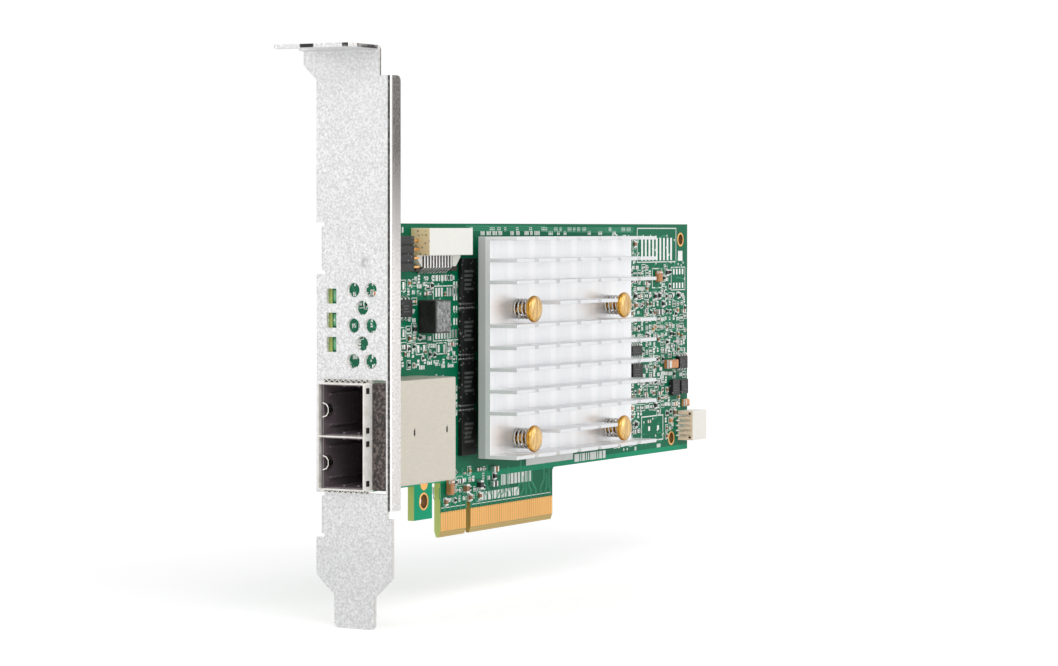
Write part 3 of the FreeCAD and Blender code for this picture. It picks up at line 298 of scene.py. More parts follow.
def edge_wear_group():
    """Where edges are rubbed, broken up by grain."""
    made, tree, given, result = new_group("edge_wear", "Mask", Radius=0.0002, Gain=6.0, Scale=900.0)
    rounded = tree.add("Bevel", {"Radius": given["Radius"]}, samples=4).outputs[0]
    bend = tree.rest(tree.dot(rounded, tree.normal()))
    edge = tree.math("MULTIPLY", bend, given["Gain"], clamp=True)
    tree.feed(result, tree.times(edge, tree.stretch(tree.noise(given["Scale"], 3.0), 0.3, 0.6)))
    return made


def dust_group():
    """A thin film of dust on what faces up."""
    made, tree, given, result = new_group("dust", "Mask", Scale=400.0, Amount=0.3)
    up = tree.stretch(tree.split(tree.normal())["Z"], 0.2, 1.0)
    film = tree.stretch(tree.noise(given["Scale"], 6.0), 0.35, 0.75)
    tree.feed(result, tree.times(up, film, given["Amount"]))
    return made


def facing_group():
    """How far a surface faces along a direction, from 0 up to 1 when it faces it fully."""
    made, tree, given, result = new_group("facing", "Mask", Direction=(0.0, 0.0, 1.0))
    tree.feed(result, tree.stretch(tree.dot(tree.normal(), given["Direction"]), 0.6, 0.9))
    return made


def along_group():
    """A ramp along a direction, from 0 at one distance to 1 at another."""
    made, tree, given, result = new_group(
        "along", "Value", Direction=(0.0, 0.0, 1.0), From=0.0, To=1.0
    )
    distance = tree.dot(tree.place(), given["Direction"])
    tree.feed(result, tree.stretch(distance, given["From"], given["To"]))
    return made


def fold_group():
    """The outside of the bracket's long fold: 1 along the line where it starts to turn."""
    made, tree, given, result = new_group("fold", "Mask", From=0.15, To=0.5)
    parts = tree.split(tree.normal())
    turned = tree.times(parts["Y"], -1.0)
    inside = tree.times(tree.math("GREATER_THAN", turned, given["From"]),
                        tree.math("LESS_THAN", turned, given["To"]))
    front = tree.math("LESS_THAN", parts["X"], -0.3)
    level = tree.math("LESS_THAN", tree.math("ABSOLUTE", parts["Z"]), 0.25)
    tree.feed(result, tree.times(inside, tree.times(front, level)))
    return made


GROUPS = {
    "grain": grain_group, "patches": patches_group, "specks": specks_group,
    "edge_wear": edge_wear_group, "dust": dust_group, "facing": facing_group,
    "along": along_group, "fold": fold_group,
}


# Finishes

def shaded(colour, share):
    """A colour made darker, or lighter where share is over 1."""
    return tuple(min(1.0, value * share) for value in colour)


class Finish(Tree):
    """A material's nodes, with its base colour built up in coats over one paint."""

    def __init__(self, name, colour, metallic=0.0, **constants):
        self.made = bpy.data.materials.new("finish_" + name)
        self.made.use_nodes = True
        super().__init__(self.made.node_tree)
        self.colour = colour
        self.base = None
        self.sockets = self.nodes["Principled BSDF"].inputs
        self.sockets["Metallic"].default_value = metallic
        for label, value in constants.items():
            self.sockets[label.replace("_", " ")].default_value = value

    def tones(self, value, dark, pale):
        """The first coat: from a darker to a paler shade of the paint, by a value."""
        self.base = self.mix(value, shaded(self.colour, dark), shaded(self.colour, pale))

    def coat(self, mask, colour, share=None):
        """Another colour, or a shade of the paint given as one number, where a mask is 1.
        Share is how much of it covers there."""
        if isinstance(colour, float):
            colour = shaded(self.colour, colour)
        if share is not None:
            mask = self.times(mask, share)
        self.base = self.mix(mask, self.base, colour)

    def rough(self, value, low, high):
        """Roughness between two limits, by a value."""
        return self.stretch(value, 0.2, 0.8, low, high)

    def done(self, roughness, height, strength, depth):
        """Feeds the shader: roughness, and a bump of this strength and depth in millimetres."""
        bump = self.add("Bump", {"Height": height, "Strength": strength, "Distance": depth * MM})
        self.feed(self.sockets["Base Color"], self.base)
        self.feed(self.sockets["Roughness"], roughness)
        self.feed(self.sockets["Normal"], bump.outputs[0])
        return self.made


def sheet_finish(name, colour, metallic, rough, scale, contrast, dark, wear_and_painted_line_share, bump, patch=60.0):
    """Sheet, plate or wire: grain and patches in colour and roughness, and rubbed edges."""
    metal = Finish(name, colour, metallic)
    value = metal.grain(scale, contrast)
    marks = metal.patches(patch, 0.42, 0.72)
    metal.tones(value, dark, 2.0 - dark)
    metal.coat(marks, 0.8, 0.25)
    metal.coat(metal.wear(0.18, 5.0), 1.35, wear_and_painted_line_share)
    spread = metal.rough(value, rough - 0.07, rough + 0.07)
    return metal.done(metal.math("ADD", spread, metal.times(marks, 0.08)), value, bump, 0.05)


def moulding_finish(name, colour, rough, texture, bump, coat=0.0):
    """A moulded body: fine spark texture, faint flow patches, paler edges and dust."""
    body = Finish(name, colour, Coat_Weight=coat, Coat_Roughness=0.25)
    value = body.grain(texture, 1.4)
    body.tones(value, 0.88, 1.1)
    body.coat(body.patches(150.0, 0.45, 0.75), 0.8, 0.12)
    body.coat(body.wear(0.15, 4.0, 1500.0), 1.5, 0.3)
    dust = body.group("dust", Scale=700.0, Amount=0.12)
    body.coat(dust, paint(190, 186, 178))
    body.coat(body.specks(1500.0, 0.32, 0.14), paint(176, 176, 174), 0.45)
    spread = body.rough(value, rough - 0.06, rough + 0.06)
    return body.done(body.math("ADD", spread, body.times(dust, 0.5)), value, bump, 0.04)


def bracket_steel():
    """Zinc-plated sheet: speckled all over, with a painted dark reflection line and a painted highlight
    along the fold, and painted reflections on the flange.
    """
    steel = Finish("bracket_steel", colours().bracket, 0.7)
    value, fine = steel.grain(2000.0, 4.0), steel.grain(3600.0, 2.6)
    steel.tones(value, 0.74, 1.26)
    steel.coat(fine, 0.66, 0.4)
    steel.coat(steel.patches(34.0, 0.42, 0.72), 0.76, 0.16)

    # The fold: a painted dark reflection line, then a painted highlight; the flank gets a painted warm
    # reflection, painted darker towards the top
    steel.coat(steel.group("fold", From=0.5, To=0.75), 1.35)
    # Painted dark reflection along the fold, broken up by the grain
    wear_and_painted_line_share = steel.stretch(value, 0.1, 0.5, 0.75, 1.0)
    steel.coat(steel.times(steel.group("fold", From=0.12, To=0.5), wear_and_painted_line_share), paint(66, 60, 56))
    flank = steel.facing(OUTWARD)
    inner = steel.along(BACKWARD, at(0.2), at(0.5))
    upper = steel.along(UP, 58 * MM, 84 * MM)
    steel.coat(flank, paint(206, 190, 168), 0.18)
    steel.coat(steel.times(flank, inner, upper, steel.stretch(value, 0.3, 0.7, 0.8, 0.98)),
               paint(86, 82, 78))

    # Dark broken patches on the sheared rims of the tab
    left, right = steel.band(INWARD, -4.2 * MM, -1 * MM), steel.band(INWARD, -12.5 * MM, -11.2 * MM)
    rims = steel.times(steel.facing(FORWARD), steel.math("ADD", left, right))
    tab = steel.times(flank, steel.band(BACKWARD, at(-8.3), at(-0.5)))
    broken = steel.stretch(steel.patches(500.0, 0.35, 0.5), 0.0, 1.0, 0.6, 1.0)
    top = steel.along(UP, 104.5 * MM, 104.7 * MM)
    steel.coat(steel.times(steel.math("MAXIMUM", rims, tab), broken, top), paint(26, 24, 23), 0.97)

    # The darker lower end, one smudge from handling, and rubbed edges
    steel.coat(steel.rest(steel.along(UP, 0.0, 16 * MM)), 0.55, 0.25)
    smudge = (BRACKET_FACE, out(8.6), 60.9 * MM)
    away = steel.add("VectorMath", {0: steel.place(), 1: smudge}, operation="DISTANCE")
    near = steel.stretch(away.outputs["Value"], 0.3 * MM, 1.6 * MM, 1.0, 0.0)
    steel.coat(steel.times(near, steel.patches(900.0, 0.35, 0.6)), paint(120, 118, 116), 0.55)
    steel.coat(steel.wear(0.18, 5.0), 1.35, 0.35)
    return steel.done(steel.rough(value, 0.38, 0.56), steel.math("ADD", value, fine), 0.3, 0.05)


def screw_steel():
    return sheet_finish("screw_steel", paint(176, 176, 178), 1.0, 0.32, 1800.0, 1.2, 0.9, 0.5, 0.15)


def board_laminate():
    """Green mask on the two faces, with a weave under it, and bare laminate on the edges."""
    board = Finish("board_laminate", colours().mask, Specular_IOR_Level=0.1)
    edge = colours().laminate
    face = board.math("GREATER_THAN", board.math("ABSOLUTE", board.split(board.normal())["Y"]), 0.6)
    weave = board.times(*(board.threads(way, 560.0, 0.4) for way in "XZ"))
    value = board.grain(1500.0, 1.2)
    board.base = board.colour
    board.coat(weave, 1.3, 0.5)
    board.coat(board.patches(45.0, 0.35, 0.7), 0.72, 0.3)
    board.coat(value, 0.8, 0.2)

    # No copper planes behind the mounting tab and the bottom edge, so light comes through
    tab = board.times(board.rest(board.along(BACKWARD, at(44.0), at(44.2))),
                      board.rest(board.along(UP, 12.4 * MM, 12.6 * MM)))
    border = board.times(board.rest(board.along(UP, 13.2 * MM, 13.4 * MM)),
                         board.along(UP, 11.9 * MM, 12 * MM))
    clear = board.math("MAXIMUM", tab, board.times(border, 0.6))
    board.coat(clear, paint(0, 180, 132), 0.85)

    # The mask stops above the fingers, and bare laminate shows between and below them
    low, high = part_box("edge_contacts_front")
    bare = board.times(board.along(BACKWARD, low.x - 1 * MM, low.x - 0.9 * MM),
                       board.rest(board.along(UP, high.z - 0.3 * MM, high.z - 0.2 * MM)))
    board.coat(bare, board.mix(weave, paint(196, 168, 104), paint(226, 200, 136)))

    # The cut edges show layers; in the key notch they are painted brown, as painted shade
    layers = board.threads("Y", 1900.0, 0.5)
    rim = board.mix(layers, shaded(edge, 0.75), shaded(edge, 1.2))
    notch = board.times(board.band(BACKWARD, -1.2 * MM, 1.2 * MM),
                        board.band(UP, -1 * MM, 8.6 * MM))
    rim = board.mix(board.times(notch, 0.85), rim, paint(158, 120, 52))
    board.base = board.mix(face, rim, board.base)
    return board.done(board.rough(value, 0.32, 0.46), weave, 0.12, 0.04)


def raised_mask():
    """Mask where it climbs over a copper line: a little lighter and glossier."""
    mask = Finish("raised_mask", colours().mask, Specular_IOR_Level=0.35)
    value = mask.grain(1800.0, 1.3)
    mask.tones(value, 1.5, 2.1)
    mask.coat(mask.patches(90.0, 0.4, 0.65), 1.2, 0.4)
    return mask.done(mask.rough(value, 0.26, 0.38), value, 0.1, 0.03)


def print_ink():
    """Screen-printed ink: slightly thin and speckled."""
    ink = Finish("print_ink", colours().print_ink)
    value = ink.grain(2600.0, 2.0)
    ink.tones(value, 0.86, 1.0)
    ink.coat(ink.specks(5200.0, 0.3, 0.12), colours().mask, 0.5)
    return ink.done(ink.rough(value, 0.55, 0.7), value, 0.2, 0.03)


def gold_plate():
    """Hard gold, with fine rubbing marks along Z from being pushed into a slot."""
    gold = Finish("gold_plate", colours().gold, 1.0)
    value = gold.grain(2600.0, 1.6, (6.0, 1.0, 0.3))
    gold.tones(value, 0.86, 1.12)
    gold.coat(gold.patches(120.0, 0.45, 0.7), 0.8, 0.3)
    return gold.done(gold.rough(value, 0.24, 0.4), value, 0.15, 0.03)


def cage_steel():
    """Drawn and plated sheet; the collar that stands out of the bracket is painted near white and made
    less metallic, as a painted reflection.
    """
    sheet = Finish("cage_steel", colours().cage)
    value = sheet.grain(1500.0, 1.8, (0.35, 1.0, 1.6))
    sheet.tones(value, 0.92, 1.08)
    sheet.coat(sheet.patches(50.0, 0.42, 0.72), 0.86, 0.2)
    # Painted reflection: the collar is painted near white, broken up by grain
    collar = sheet.rest(sheet.along(BACKWARD, at(0.0), at(0.1)))
    painted_collar_reflection = sheet.stretch(sheet.grain(420.0, 2.4), 0.2, 0.6, 0.55, 1.0)
    sheet.coat(sheet.times(collar, painted_collar_reflection), paint(255, 253, 248))
    sheet.feed(sheet.sockets["Metallic"], sheet.stretch(collar, 0.0, 1.0, 0.6, 0.05))
    sheet.coat(sheet.wear(0.18, 5.0), 1.35, 0.5)
    return sheet.done(sheet.rough(value, 0.3, 0.44), value, 0.12, 0.05)


def contact_foam():
    """Dark conductive cloth over foam, with the odd bright thread."""
    foam = Finish("contact_foam", colours().foam, 0.1, Sheen_Weight=0.3, Sheen_Roughness=0.6)
    weave = foam.times(*(foam.threads(way, 900.0, 2.0, Detail=2.0) for way in "YZ"))
    value = foam.grain(1500.0, 2.4)
    foam.tones(weave, 0.5, 1.6)
    foam.coat(value, 0.3, 0.5)
    foam.coat(foam.math("POWER", foam.grain(1500.0, 6.0), 2.0), paint(126, 112, 106))
    foam.coat(foam.specks(480.0, 0.26, 0.3), paint(226, 214, 204))
    return foam.done(foam.rough(value, 0.7, 0.9), foam.math("ADD", weave, value), 0.6, 0.1)


def spring_sheet():
    return sheet_finish("spring_sheet", paint(222, 220, 214), 1.0, 0.24, 1700.0, 1.2, 0.92, 0.6, 0.1)


def black_moulding():
    return moulding_finish("black_moulding", colours().black, 0.5, 2100.0, 0.25)


def port_moulding():
    """Smooth dark moulding with a clear coat, its colour lifted to a purple grey as a painted
    reflection.
    """
    return moulding_finish("port_moulding", colours().port, 0.34, 1500.0, 0.12, 0.3)


def substrate_laminate():
    return moulding_finish("substrate_laminate", paint(26, 74, 58), 0.42, 1700.0, 0.12, 0.3)


def lid_metal():
    return sheet_finish("lid_metal", paint(188, 187, 184), 1.0, 0.36, 1500.0, 1.3, 0.92, 0.4, 0.1)


def thermal_compound():
    return moulding_finish("thermal_compound", paint(150, 152, 156), 0.75, 1300.0, 0.4)


def sink_aluminium():
    """Extruded aluminium with a clear finish: draw lines along the fins, and a bright edge."""
    sink = Finish("sink_aluminium", colours().sink)
    lines = sink.grain(1500.0, 1.6, (0.05, 1.0, 1.0))
    value = sink.grain(2200.0, 1.4)
    sink.tones(lines, 0.94, 1.04)
    sink.coat(value, 0.9, 0.3)
    sink.coat(sink.patches(55.0, 0.45, 0.75), 0.88, 0.22)
    low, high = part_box("heat_sink")
    side = sink.facing(FORWARD)
    sink.feed(sink.sockets["Metallic"], sink.stretch(side, 0.0, 1.0, 0.75, 0.1))
    # Painted shade: a grey band on the side faces next to the board
    foot = sink.along(INWARD, high.y - 1.9 * MM, high.y - 1.7 * MM)
    sink.coat(sink.times(side, foot), paint(176, 178, 176), 0.6)

    # The saw cuts the fins across. Painted shade of the fins darkens the base between the cuts, with
    # painted light in strips under them; the tips get a painted dark reflection
    cut, columns = 1.9 * MM, 7
    pitch = (high.x - low.x + cut) / columns
    front = sink.facing(OUTWARD)
    deep = sink.along(INWARD, low.y + 4 * MM, low.y + 5 * MM)
    x = sink.math("SUBTRACT", sink.split(sink.place())["X"], low.x - cut / 2)
    strips = sink.stretch(sink.math("PINGPONG", x, pitch / 2), 0.8 * MM, 1.8 * MM)
    streaks = sink.stretch(sink.grain(1300.0, 2.4, (1.0, 1.0, 0.06)), 0.2, 0.8, 0.45, 1.0)
    sink.coat(sink.times(strips, streaks, front, deep), paint(232, 234, 236), 0.6)
    sink.coat(sink.times(front, sink.rest(deep)), paint(214, 216, 218), 0.75)
    sink.coat(sink.wear(0.2, 5.0, 1100.0), 1.15, 0.4)
    height = sink.math("ADD", lines, sink.times(value, 0.4))
    return sink.done(sink.rough(lines, 0.3, 0.46), height, 0.12, 0.04)


def pin_brass():
    """Turned brass: fine rings from the tool, darker patches, and a painted reflection on its face,
    brown with pale streaks.
    """
    brass = Finish("pin_brass", colours().brass, 1.0)
    rings = brass.grain(2200.0, 1.5, (0.15, 2.2, 0.15))
    brass.tones(rings, 0.84, 1.12)
    brass.coat(brass.patches(260.0, 0.45, 0.7), paint(150, 98, 40), 0.4)
    # Painted reflection on the face: brown with pale vertical streaks
    streaks = brass.grain(700.0, 2.6, (2.2, 0.1, 0.25))
    painted_face_reflection = brass.mix(streaks, paint(168, 128, 78), paint(250, 222, 164))
    brass.coat(brass.facing(OUTWARD), painted_face_reflection, 0.75)
    brass.coat(brass.wear(0.25, 5.0), 1.5, 0.5)
    return brass.done(brass.rough(brass.grain(1400.0, 1.2), 0.18, 0.34), rings, 0.12, 0.04)


def spring_steel():
    return sheet_finish("spring_steel", colours().spring, 1.0, 0.25, 1800.0, 1.3, 0.88, 0.3, 0.1,
                        220.0)


def shroud_moulding():
    """Cream nylon; the end that faces the bracket is darker and yellower, with dark specks."""
    cream = Finish("shroud_moulding", colours().shroud, Specular_IOR_Level=0.35)
    value = cream.grain(1900.0, 1.4)
    cream.tones(value, 0.94, 1.06)
    cream.coat(cream.patches(150.0, 0.45, 0.75), 0.86, 0.1)
    end_specks = cream.times(cream.specks(1300.0, 0.34, 0.3), 0.7)
    end_tint = cream.mix(end_specks, paint(244, 222, 168), paint(104, 78, 52))
    cream.coat(cream.facing(FORWARD), end_tint, 0.9)
    cream.coat(cream.wear(0.15, 4.0, 1500.0), 1.2, 0.25)
    return cream.done(cream.rough(value, 0.38, 0.5), value, 0.1, 0.04)


def ivory_moulding():
    """Ivory nylon, with painted warm shade on the side that faces the ports."""
    ivory = Finish("ivory_moulding", colours().side_housing, Coat_Weight=0.1, Coat_Roughness=0.25)
    value = ivory.grain(1900.0, 1.4)
    ivory.tones(value, 0.9, 1.08)
    ivory.coat(ivory.patches(150.0, 0.45, 0.75), 0.85, 0.12)
    ivory.coat(ivory.facing(FORWARD), paint(255, 226, 196), 0.9)
    ivory.coat(ivory.wear(0.15, 4.0, 1500.0), 1.3, 0.3)
    return ivory.done(ivory.rough(value, 0.39, 0.51), value, 0.12, 0.04)


def tinned_metal():
    return sheet_finish("tinned_metal", colours().tinned, 0.85, 0.3, 1900.0, 1.6, 0.88, 0.3, 0.3,
                        400.0)


def inductor_core():
    """Pressed iron powder: coarse dark and light grains under a clear coat."""
    core = Finish("inductor_core", colours().inductor, 0.2, Coat_Weight=0.2, Coat_Roughness=0.3)
    tone = core.add("SeparateColor", {0: core.cells(2600.0)["Color"]}).outputs[0]
    value = core.grain(1500.0, 2.0)
    core.tones(tone, 0.35, 1.6)
    core.coat(value, 0.6, 0.5)
    pale = core.mix(core.grain(1500.0, 3.4), paint(84, 86, 86), paint(204, 208, 206))
    pale = core.mix(core.times(tone, 0.5), pale, paint(100, 102, 102))
    core.coat(core.facing(OUTWARD), pale, 0.8)
    height = core.math("ADD", tone, value)
    return core.done(core.stretch(tone, 0.0, 1.0, 0.35, 0.6), height, 0.3, 0.05)


def fired_part(name, colour, spread=0.35):
    """Small fired or moulded bodies, each a little different from the next."""
    body = Finish(name, colour)
    tone = body.add("SeparateColor", {0: body.cells(420.0)["Color"]}).outputs[1]
    value = body.grain(3000.0, 1.5)
    body.tones(tone, 1 - spread, 1 + spread)
    body.coat(value, 0.7, 0.35)
    return body.done(body.rough(value, 0.4, 0.58), value, 0.25, 0.03)


def capacitor_ceramic():
    return fired_part("capacitor_ceramic", colours().capacitor)


def resistor_ceramic():
    return fired_part("resistor_ceramic", paint(38, 38, 42), 0.5)


def tantalum_moulding():
    return fired_part("tantalum_moulding", colours().tantalum, 0.3)


def lamp_lens():
    """Cloudy lens over a pale green lamp body."""
    lens = Finish("lamp_lens", paint(58, 176, 122), Coat_Weight=0.5, Coat_Roughness=0.1)
    value = lens.grain(1500.0, 1.4)
    lens.base = lens.mix(value, lens.colour, paint(150, 214, 160))
    lens.coat(lens.specks(1100.0, 0.4, 0.6), paint(250, 252, 246))
    return lens.done(lens.rough(value, 0.2, 0.35), value, 0.1, 0.04)


def label_paper():
    """Matt label film with faint creases and a yellowed patch."""
    label = Finish("label_paper", colours().label)
    value = label.grain(1600.0, 1.2)
    marks = label.patches(130.0, 0.45, 0.7)
    label.tones(value, 0.93, 1.0)
    label.coat(marks, paint(214, 214, 204), 0.2)
    return label.done(label.rough(value, 0.5, 0.65), marks, 0.15, 0.05)


def dark_hole():
    """Painted shade: the unlit dark inside holes, slots and windows."""
    return moulding_finish("dark_hole", paint(18, 20, 18), 0.7, 1500.0, 0.1)


def lead_shade_brown():
    """Painted shade: dark brown for the bar under the top connector's leads."""
    return moulding_finish("lead_shade_brown", paint(54, 38, 30), 0.55, 1600.0, 0.15)


def plated_barrel():
    """The shaded inside of a plated hole."""
    return sheet_finish("plated_barrel", paint(120, 82, 40), 0.6, 0.4, 1800.0, 1.6, 0.8, 0.3, 0.15)


def etched_mark():
    """Laser-dulled patches on chip tops."""
    mark = Finish("etched_mark", paint(44, 46, 46))
    value = mark.grain(3200.0, 2.2)
    mark.base = mark.mix(value, mark.colour, paint(112, 114, 112))
    return mark.done(mark.rough(value, 0.6, 0.75), value, 0.2, 0.03)


FINISHES = [
    dark_hole, lead_shade_brown, plated_barrel, etched_mark, port_moulding, bracket_steel,
    screw_steel, board_laminate, raised_mask, print_ink, gold_plate, cage_steel, contact_foam,
    spring_sheet, black_moulding, substrate_laminate, lid_metal, thermal_compound,
    sink_aluminium, pin_brass, spring_steel, shroud_moulding, ivory_moulding, tinned_metal,
    inductor_core, capacitor_ceramic, resistor_ceramic, tantalum_moulding, lamp_lens,
    label_paper,
]


def finish(name):
    """A finish by name, made the first time that it is asked for."""
    makers = {maker.__name__: maker for maker in FINISHES}
    return bpy.data.materials.get("finish_" + name) or makers[name]()


# Meshes

def add_bevel(piece, width, segments, angle):
    """A small rounding on every edge that turns by more than an angle in degrees."""
    bevel = piece.modifiers.new("Edge", "BEVEL")
    bevel.width = width
    bevel.segments = segments
    bevel.limit_method = "ANGLE"
    bevel.angle_limit = math.radians(angle)
    return bevel


def dress(node, material, edge=None, segments=2):
    """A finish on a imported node, and its sharp edges broken by a small rounding."""
    piece = NODES[node]
    if not piece.material_slots:
        piece.data.materials.append(finish(material))
    for slot in piece.material_slots:
        slot.link = "OBJECT"
        slot.material = finish(material)
    if edge:
        weld = piece.modifiers.new("Weld", "WELD")
        weld.merge_threshold = 0.002 * MM
        flat = piece.modifiers.new("Flat faces", "DECIMATE")
        flat.decimate_type = "DISSOLVE"
        flat.angle_limit = math.radians(1)
        bevel = add_bevel(piece, edge, segments, 40)
        bevel.use_clamp_overlap = True
        bevel.harden_normals = False
        normals = piece.modifiers.new("Normals", "WEIGHTED_NORMAL")
        normals.keep_sharp = True


def make_piece(name, mesh, materials, replaces=(), smooth=30, edge=None):
    """A new piece from a bmesh: finished, riding on the card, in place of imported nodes."""
    data = bpy.data.meshes.new(name)
    bmesh.ops.recalc_face_normals(mesh, faces=mesh.faces)
    mesh.to_mesh(data)
    mesh.free()
    piece = bpy.data.objects.new(name, data)
    bpy.context.scene.collection.objects.link(piece)
    for material in materials:
        data.materials.append(finish(material))
    if edge:
        add_bevel(piece, edge, 2, 40)
    data.shade_smooth()
    data.set_sharp_from_angle(angle=math.radians(smooth))
    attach(piece, "root")
    if replaces:
        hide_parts(*replaces)
    return piece


def add_block(mesh, low, high, material=0):
    """A block between two corners, as new faces of a mesh."""
    corners = [
        mesh.verts.new((x, y, z))
        for x in (low[0], high[0]) for y in (low[1], high[1]) for z in (low[2], high[2])
    ]
    for ring in ((0, 1, 3, 2), (4, 6, 7, 5), (0, 4, 5, 1), (2, 3, 7, 6), (0, 2, 6, 4), (1, 5, 7, 3)):
        face = mesh.faces.new([corners[i] for i in ring])
        face.material_index = material
    return corners


def circle(mesh, x, y, z, radius, sides):
    """A ring of vertices round an axis along Y."""
    turns = [2 * math.pi * i / sides for i in range(sides)]
    return [
        mesh.verts.new((x + radius * math.cos(turn), y, z + radius * math.sin(turn)))
        for turn in turns
    ]


def skin(mesh, rings, material=0):
    """Faces between each closed ring of vertices and the next."""
    for here, ahead in zip(rings, rings[1:]):
        for i in range(len(here)):
            j = (i + 1) % len(here)
            face = mesh.faces.new((here[i], here[j], ahead[j], ahead[i]))
            face.material_index = material


def close_ends(mesh, rings):
    mesh.faces.new(rings[0])
    mesh.faces.new(rings[-1])


def add_turned(mesh, x, z, profile, sides=48):
    """A turned form along Y: profile is (y, radius) pairs, closed at both ends."""
    rings = [circle(mesh, x, y, z, radius, sides) for y, radius in profile]
    skin(mesh, rings)
    close_ends(mesh, rings)


def add_tube(mesh, points, radius, sides=12):
    """A round wire along a line of points, with closed ends."""
    rings = []
    normal = None
    for i, point in enumerate(points):
        before, after = points[max(i - 1, 0)], points[min(i + 1, len(points) - 1)]
        along = (after - before).normalized()
        if normal is None:
            normal = along.orthogonal().normalized()
        normal = (normal - along * normal.dot(along)).normalized()
        side = along.cross(normal)
        ring = []
        for k in range(sides):
            turn = 2 * math.pi * k / sides
            spoke = normal * math.cos(turn) + side * math.sin(turn)
            ring.append(mesh.verts.new(point + spoke * radius))
        rings.append(ring)
    skin(mesh, rings)
    close_ends(mesh, rings)


def centre_of(low, high):
    """The (x, z) place in the middle of a box."""
    return (low.x + high.x) / 2, (low.z + high.z) / 2


def islands(node):
    """The boxes, as (low, high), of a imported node's separate solids."""
    data = NODES[node].data
    key = [tuple(round(value * 1e6) for value in vertex.co) for vertex in data.vertices]
    leader = {}

    def top(name):
        while leader.setdefault(name, name) != name:
            leader[name] = leader[leader[name]]
            name = leader[name]
        return name

    for polygon in data.polygons:
        corners = [key[i] for i in polygon.vertices]
        for corner in corners[1:]:
            leader[top(corner)] = top(corners[0])
    boxes = {}
    for name, vertex in zip(key, data.vertices):
        low, high = boxes.setdefault(top(name), (vertex.co.copy(), vertex.co.copy()))
        for i in range(3):
            low[i] = min(low[i], vertex.co[i])
            high[i] = max(high[i], vertex.co[i])
    return sorted(boxes.values(), key=lambda box: tuple(box[0]))


def rounded(points, radius, steps=4):
    """A (y, radius) profile with its inner corners rounded off."""
    result = [points[0]]
    for before, here, after in zip(points, points[1:], points[2:]):
        a, b, c = Vector(before), Vector(here), Vector(after)
        reach = min(radius, (a - b).length * 0.45, (c - b).length * 0.45)
        start, end = b + (a - b).normalized() * reach, b + (c - b).normalized() * reach
        for i in range(steps + 1):
            t = i / steps
            result.append(tuple(start * (1 - t) ** 2 + b * 2 * t * (1 - t) + end * t ** 2))
    result.append(points[-1])
    return result


# Pieces

def sprung_pins():
    """Turned brass pins, with a rounded mushroom head, a collar and a barbed tip."""
    head_form = (
        (0.0, 0.1), (0.0, 1.9), (0.28, 2.55), (0.62, 2.98), (1.25, 3.0), (1.7, 2.6), (1.72, 1.6),
        (2.9, 1.6), (2.95, 1.2),
    )
    mesh = bmesh.new()
    for low, high in islands("push_pins"):
        profile = [(low.y + depth * MM, radius * MM) for depth, radius in head_form]
        profile += [
            (BACK, 1.2 * MM), (BACK + 0.02 * MM, 1.68 * MM), (high.y - 0.7 * MM, 1.3 * MM),
            (high.y, 0.62 * MM), (high.y, 0.1 * MM),
        ]
        add_turned(mesh, *centre_of(low, high), rounded(profile, 0.3 * MM))
    make_piece("sprung_pin_bodies", mesh, ["pin_brass"], ["push_pins"], 50)


def pin_springs():
    """Round-wire coils, closed and ground flat at both ends."""
    mesh = bmesh.new()
    wire = sizes().spring_wire / 2
    for low, high in islands("push_pin_springs"):
        x, z = centre_of(low, high)
        reach = 2.35 * MM - wire
        first, last = high.y - wire, low.y + wire
        turns, steps = 4.0, 28
        points = []
        for i in range(int(turns * steps) + 1):
            share = i / (turns * steps)
            closed = min(max((share - 0.1) / 0.8, 0.0), 1.0)
            turn = 2 * math.pi * i / steps
            points.append(Vector((
                x + reach * math.cos(turn), first + (last - first) * closed, z + reach * math.sin(turn),
            )))
        add_tube(mesh, points, wire * 0.94)
    make_piece("pin_spring_coils", mesh, ["spring_steel"], ["push_pin_springs"], 60)


def hole_rings():
    """Gold rings round the plain holes, with a plated barrel through each."""
    mesh = bmesh.new()
    holes = {}
    for low, high in islands("plated_rings"):
        x, z = centre_of(low, high)
        holes[(round(x, 5), round(z, 5))] = (high.x - low.x) / 2
    for (x, z), reach in holes.items():
        hole = reach / math.cos(math.pi / 12) - 0.45 * MM
        lip = 0.05 * MM
        profile = [
            (FACE - lip * 0.2, reach), (FACE - lip, reach - 0.08 * MM), (FACE - lip, hole),
            (FACE, hole - lip), (BACK, hole - lip), (BACK + lip, hole),
            (BACK + lip, reach - 0.08 * MM), (BACK + lip * 0.2, reach),
        ]
        rings = [circle(mesh, x, y, z, radius, 64) for y, radius in profile]
        skin(mesh, rings[:4])
        skin(mesh, rings[3:6], 1)
        skin(mesh, rings[5:])
    make_piece("plated_hole_rings", mesh, ["gold_plate", "plated_barrel"],
               ["plated_rings"], 30)


# Board details

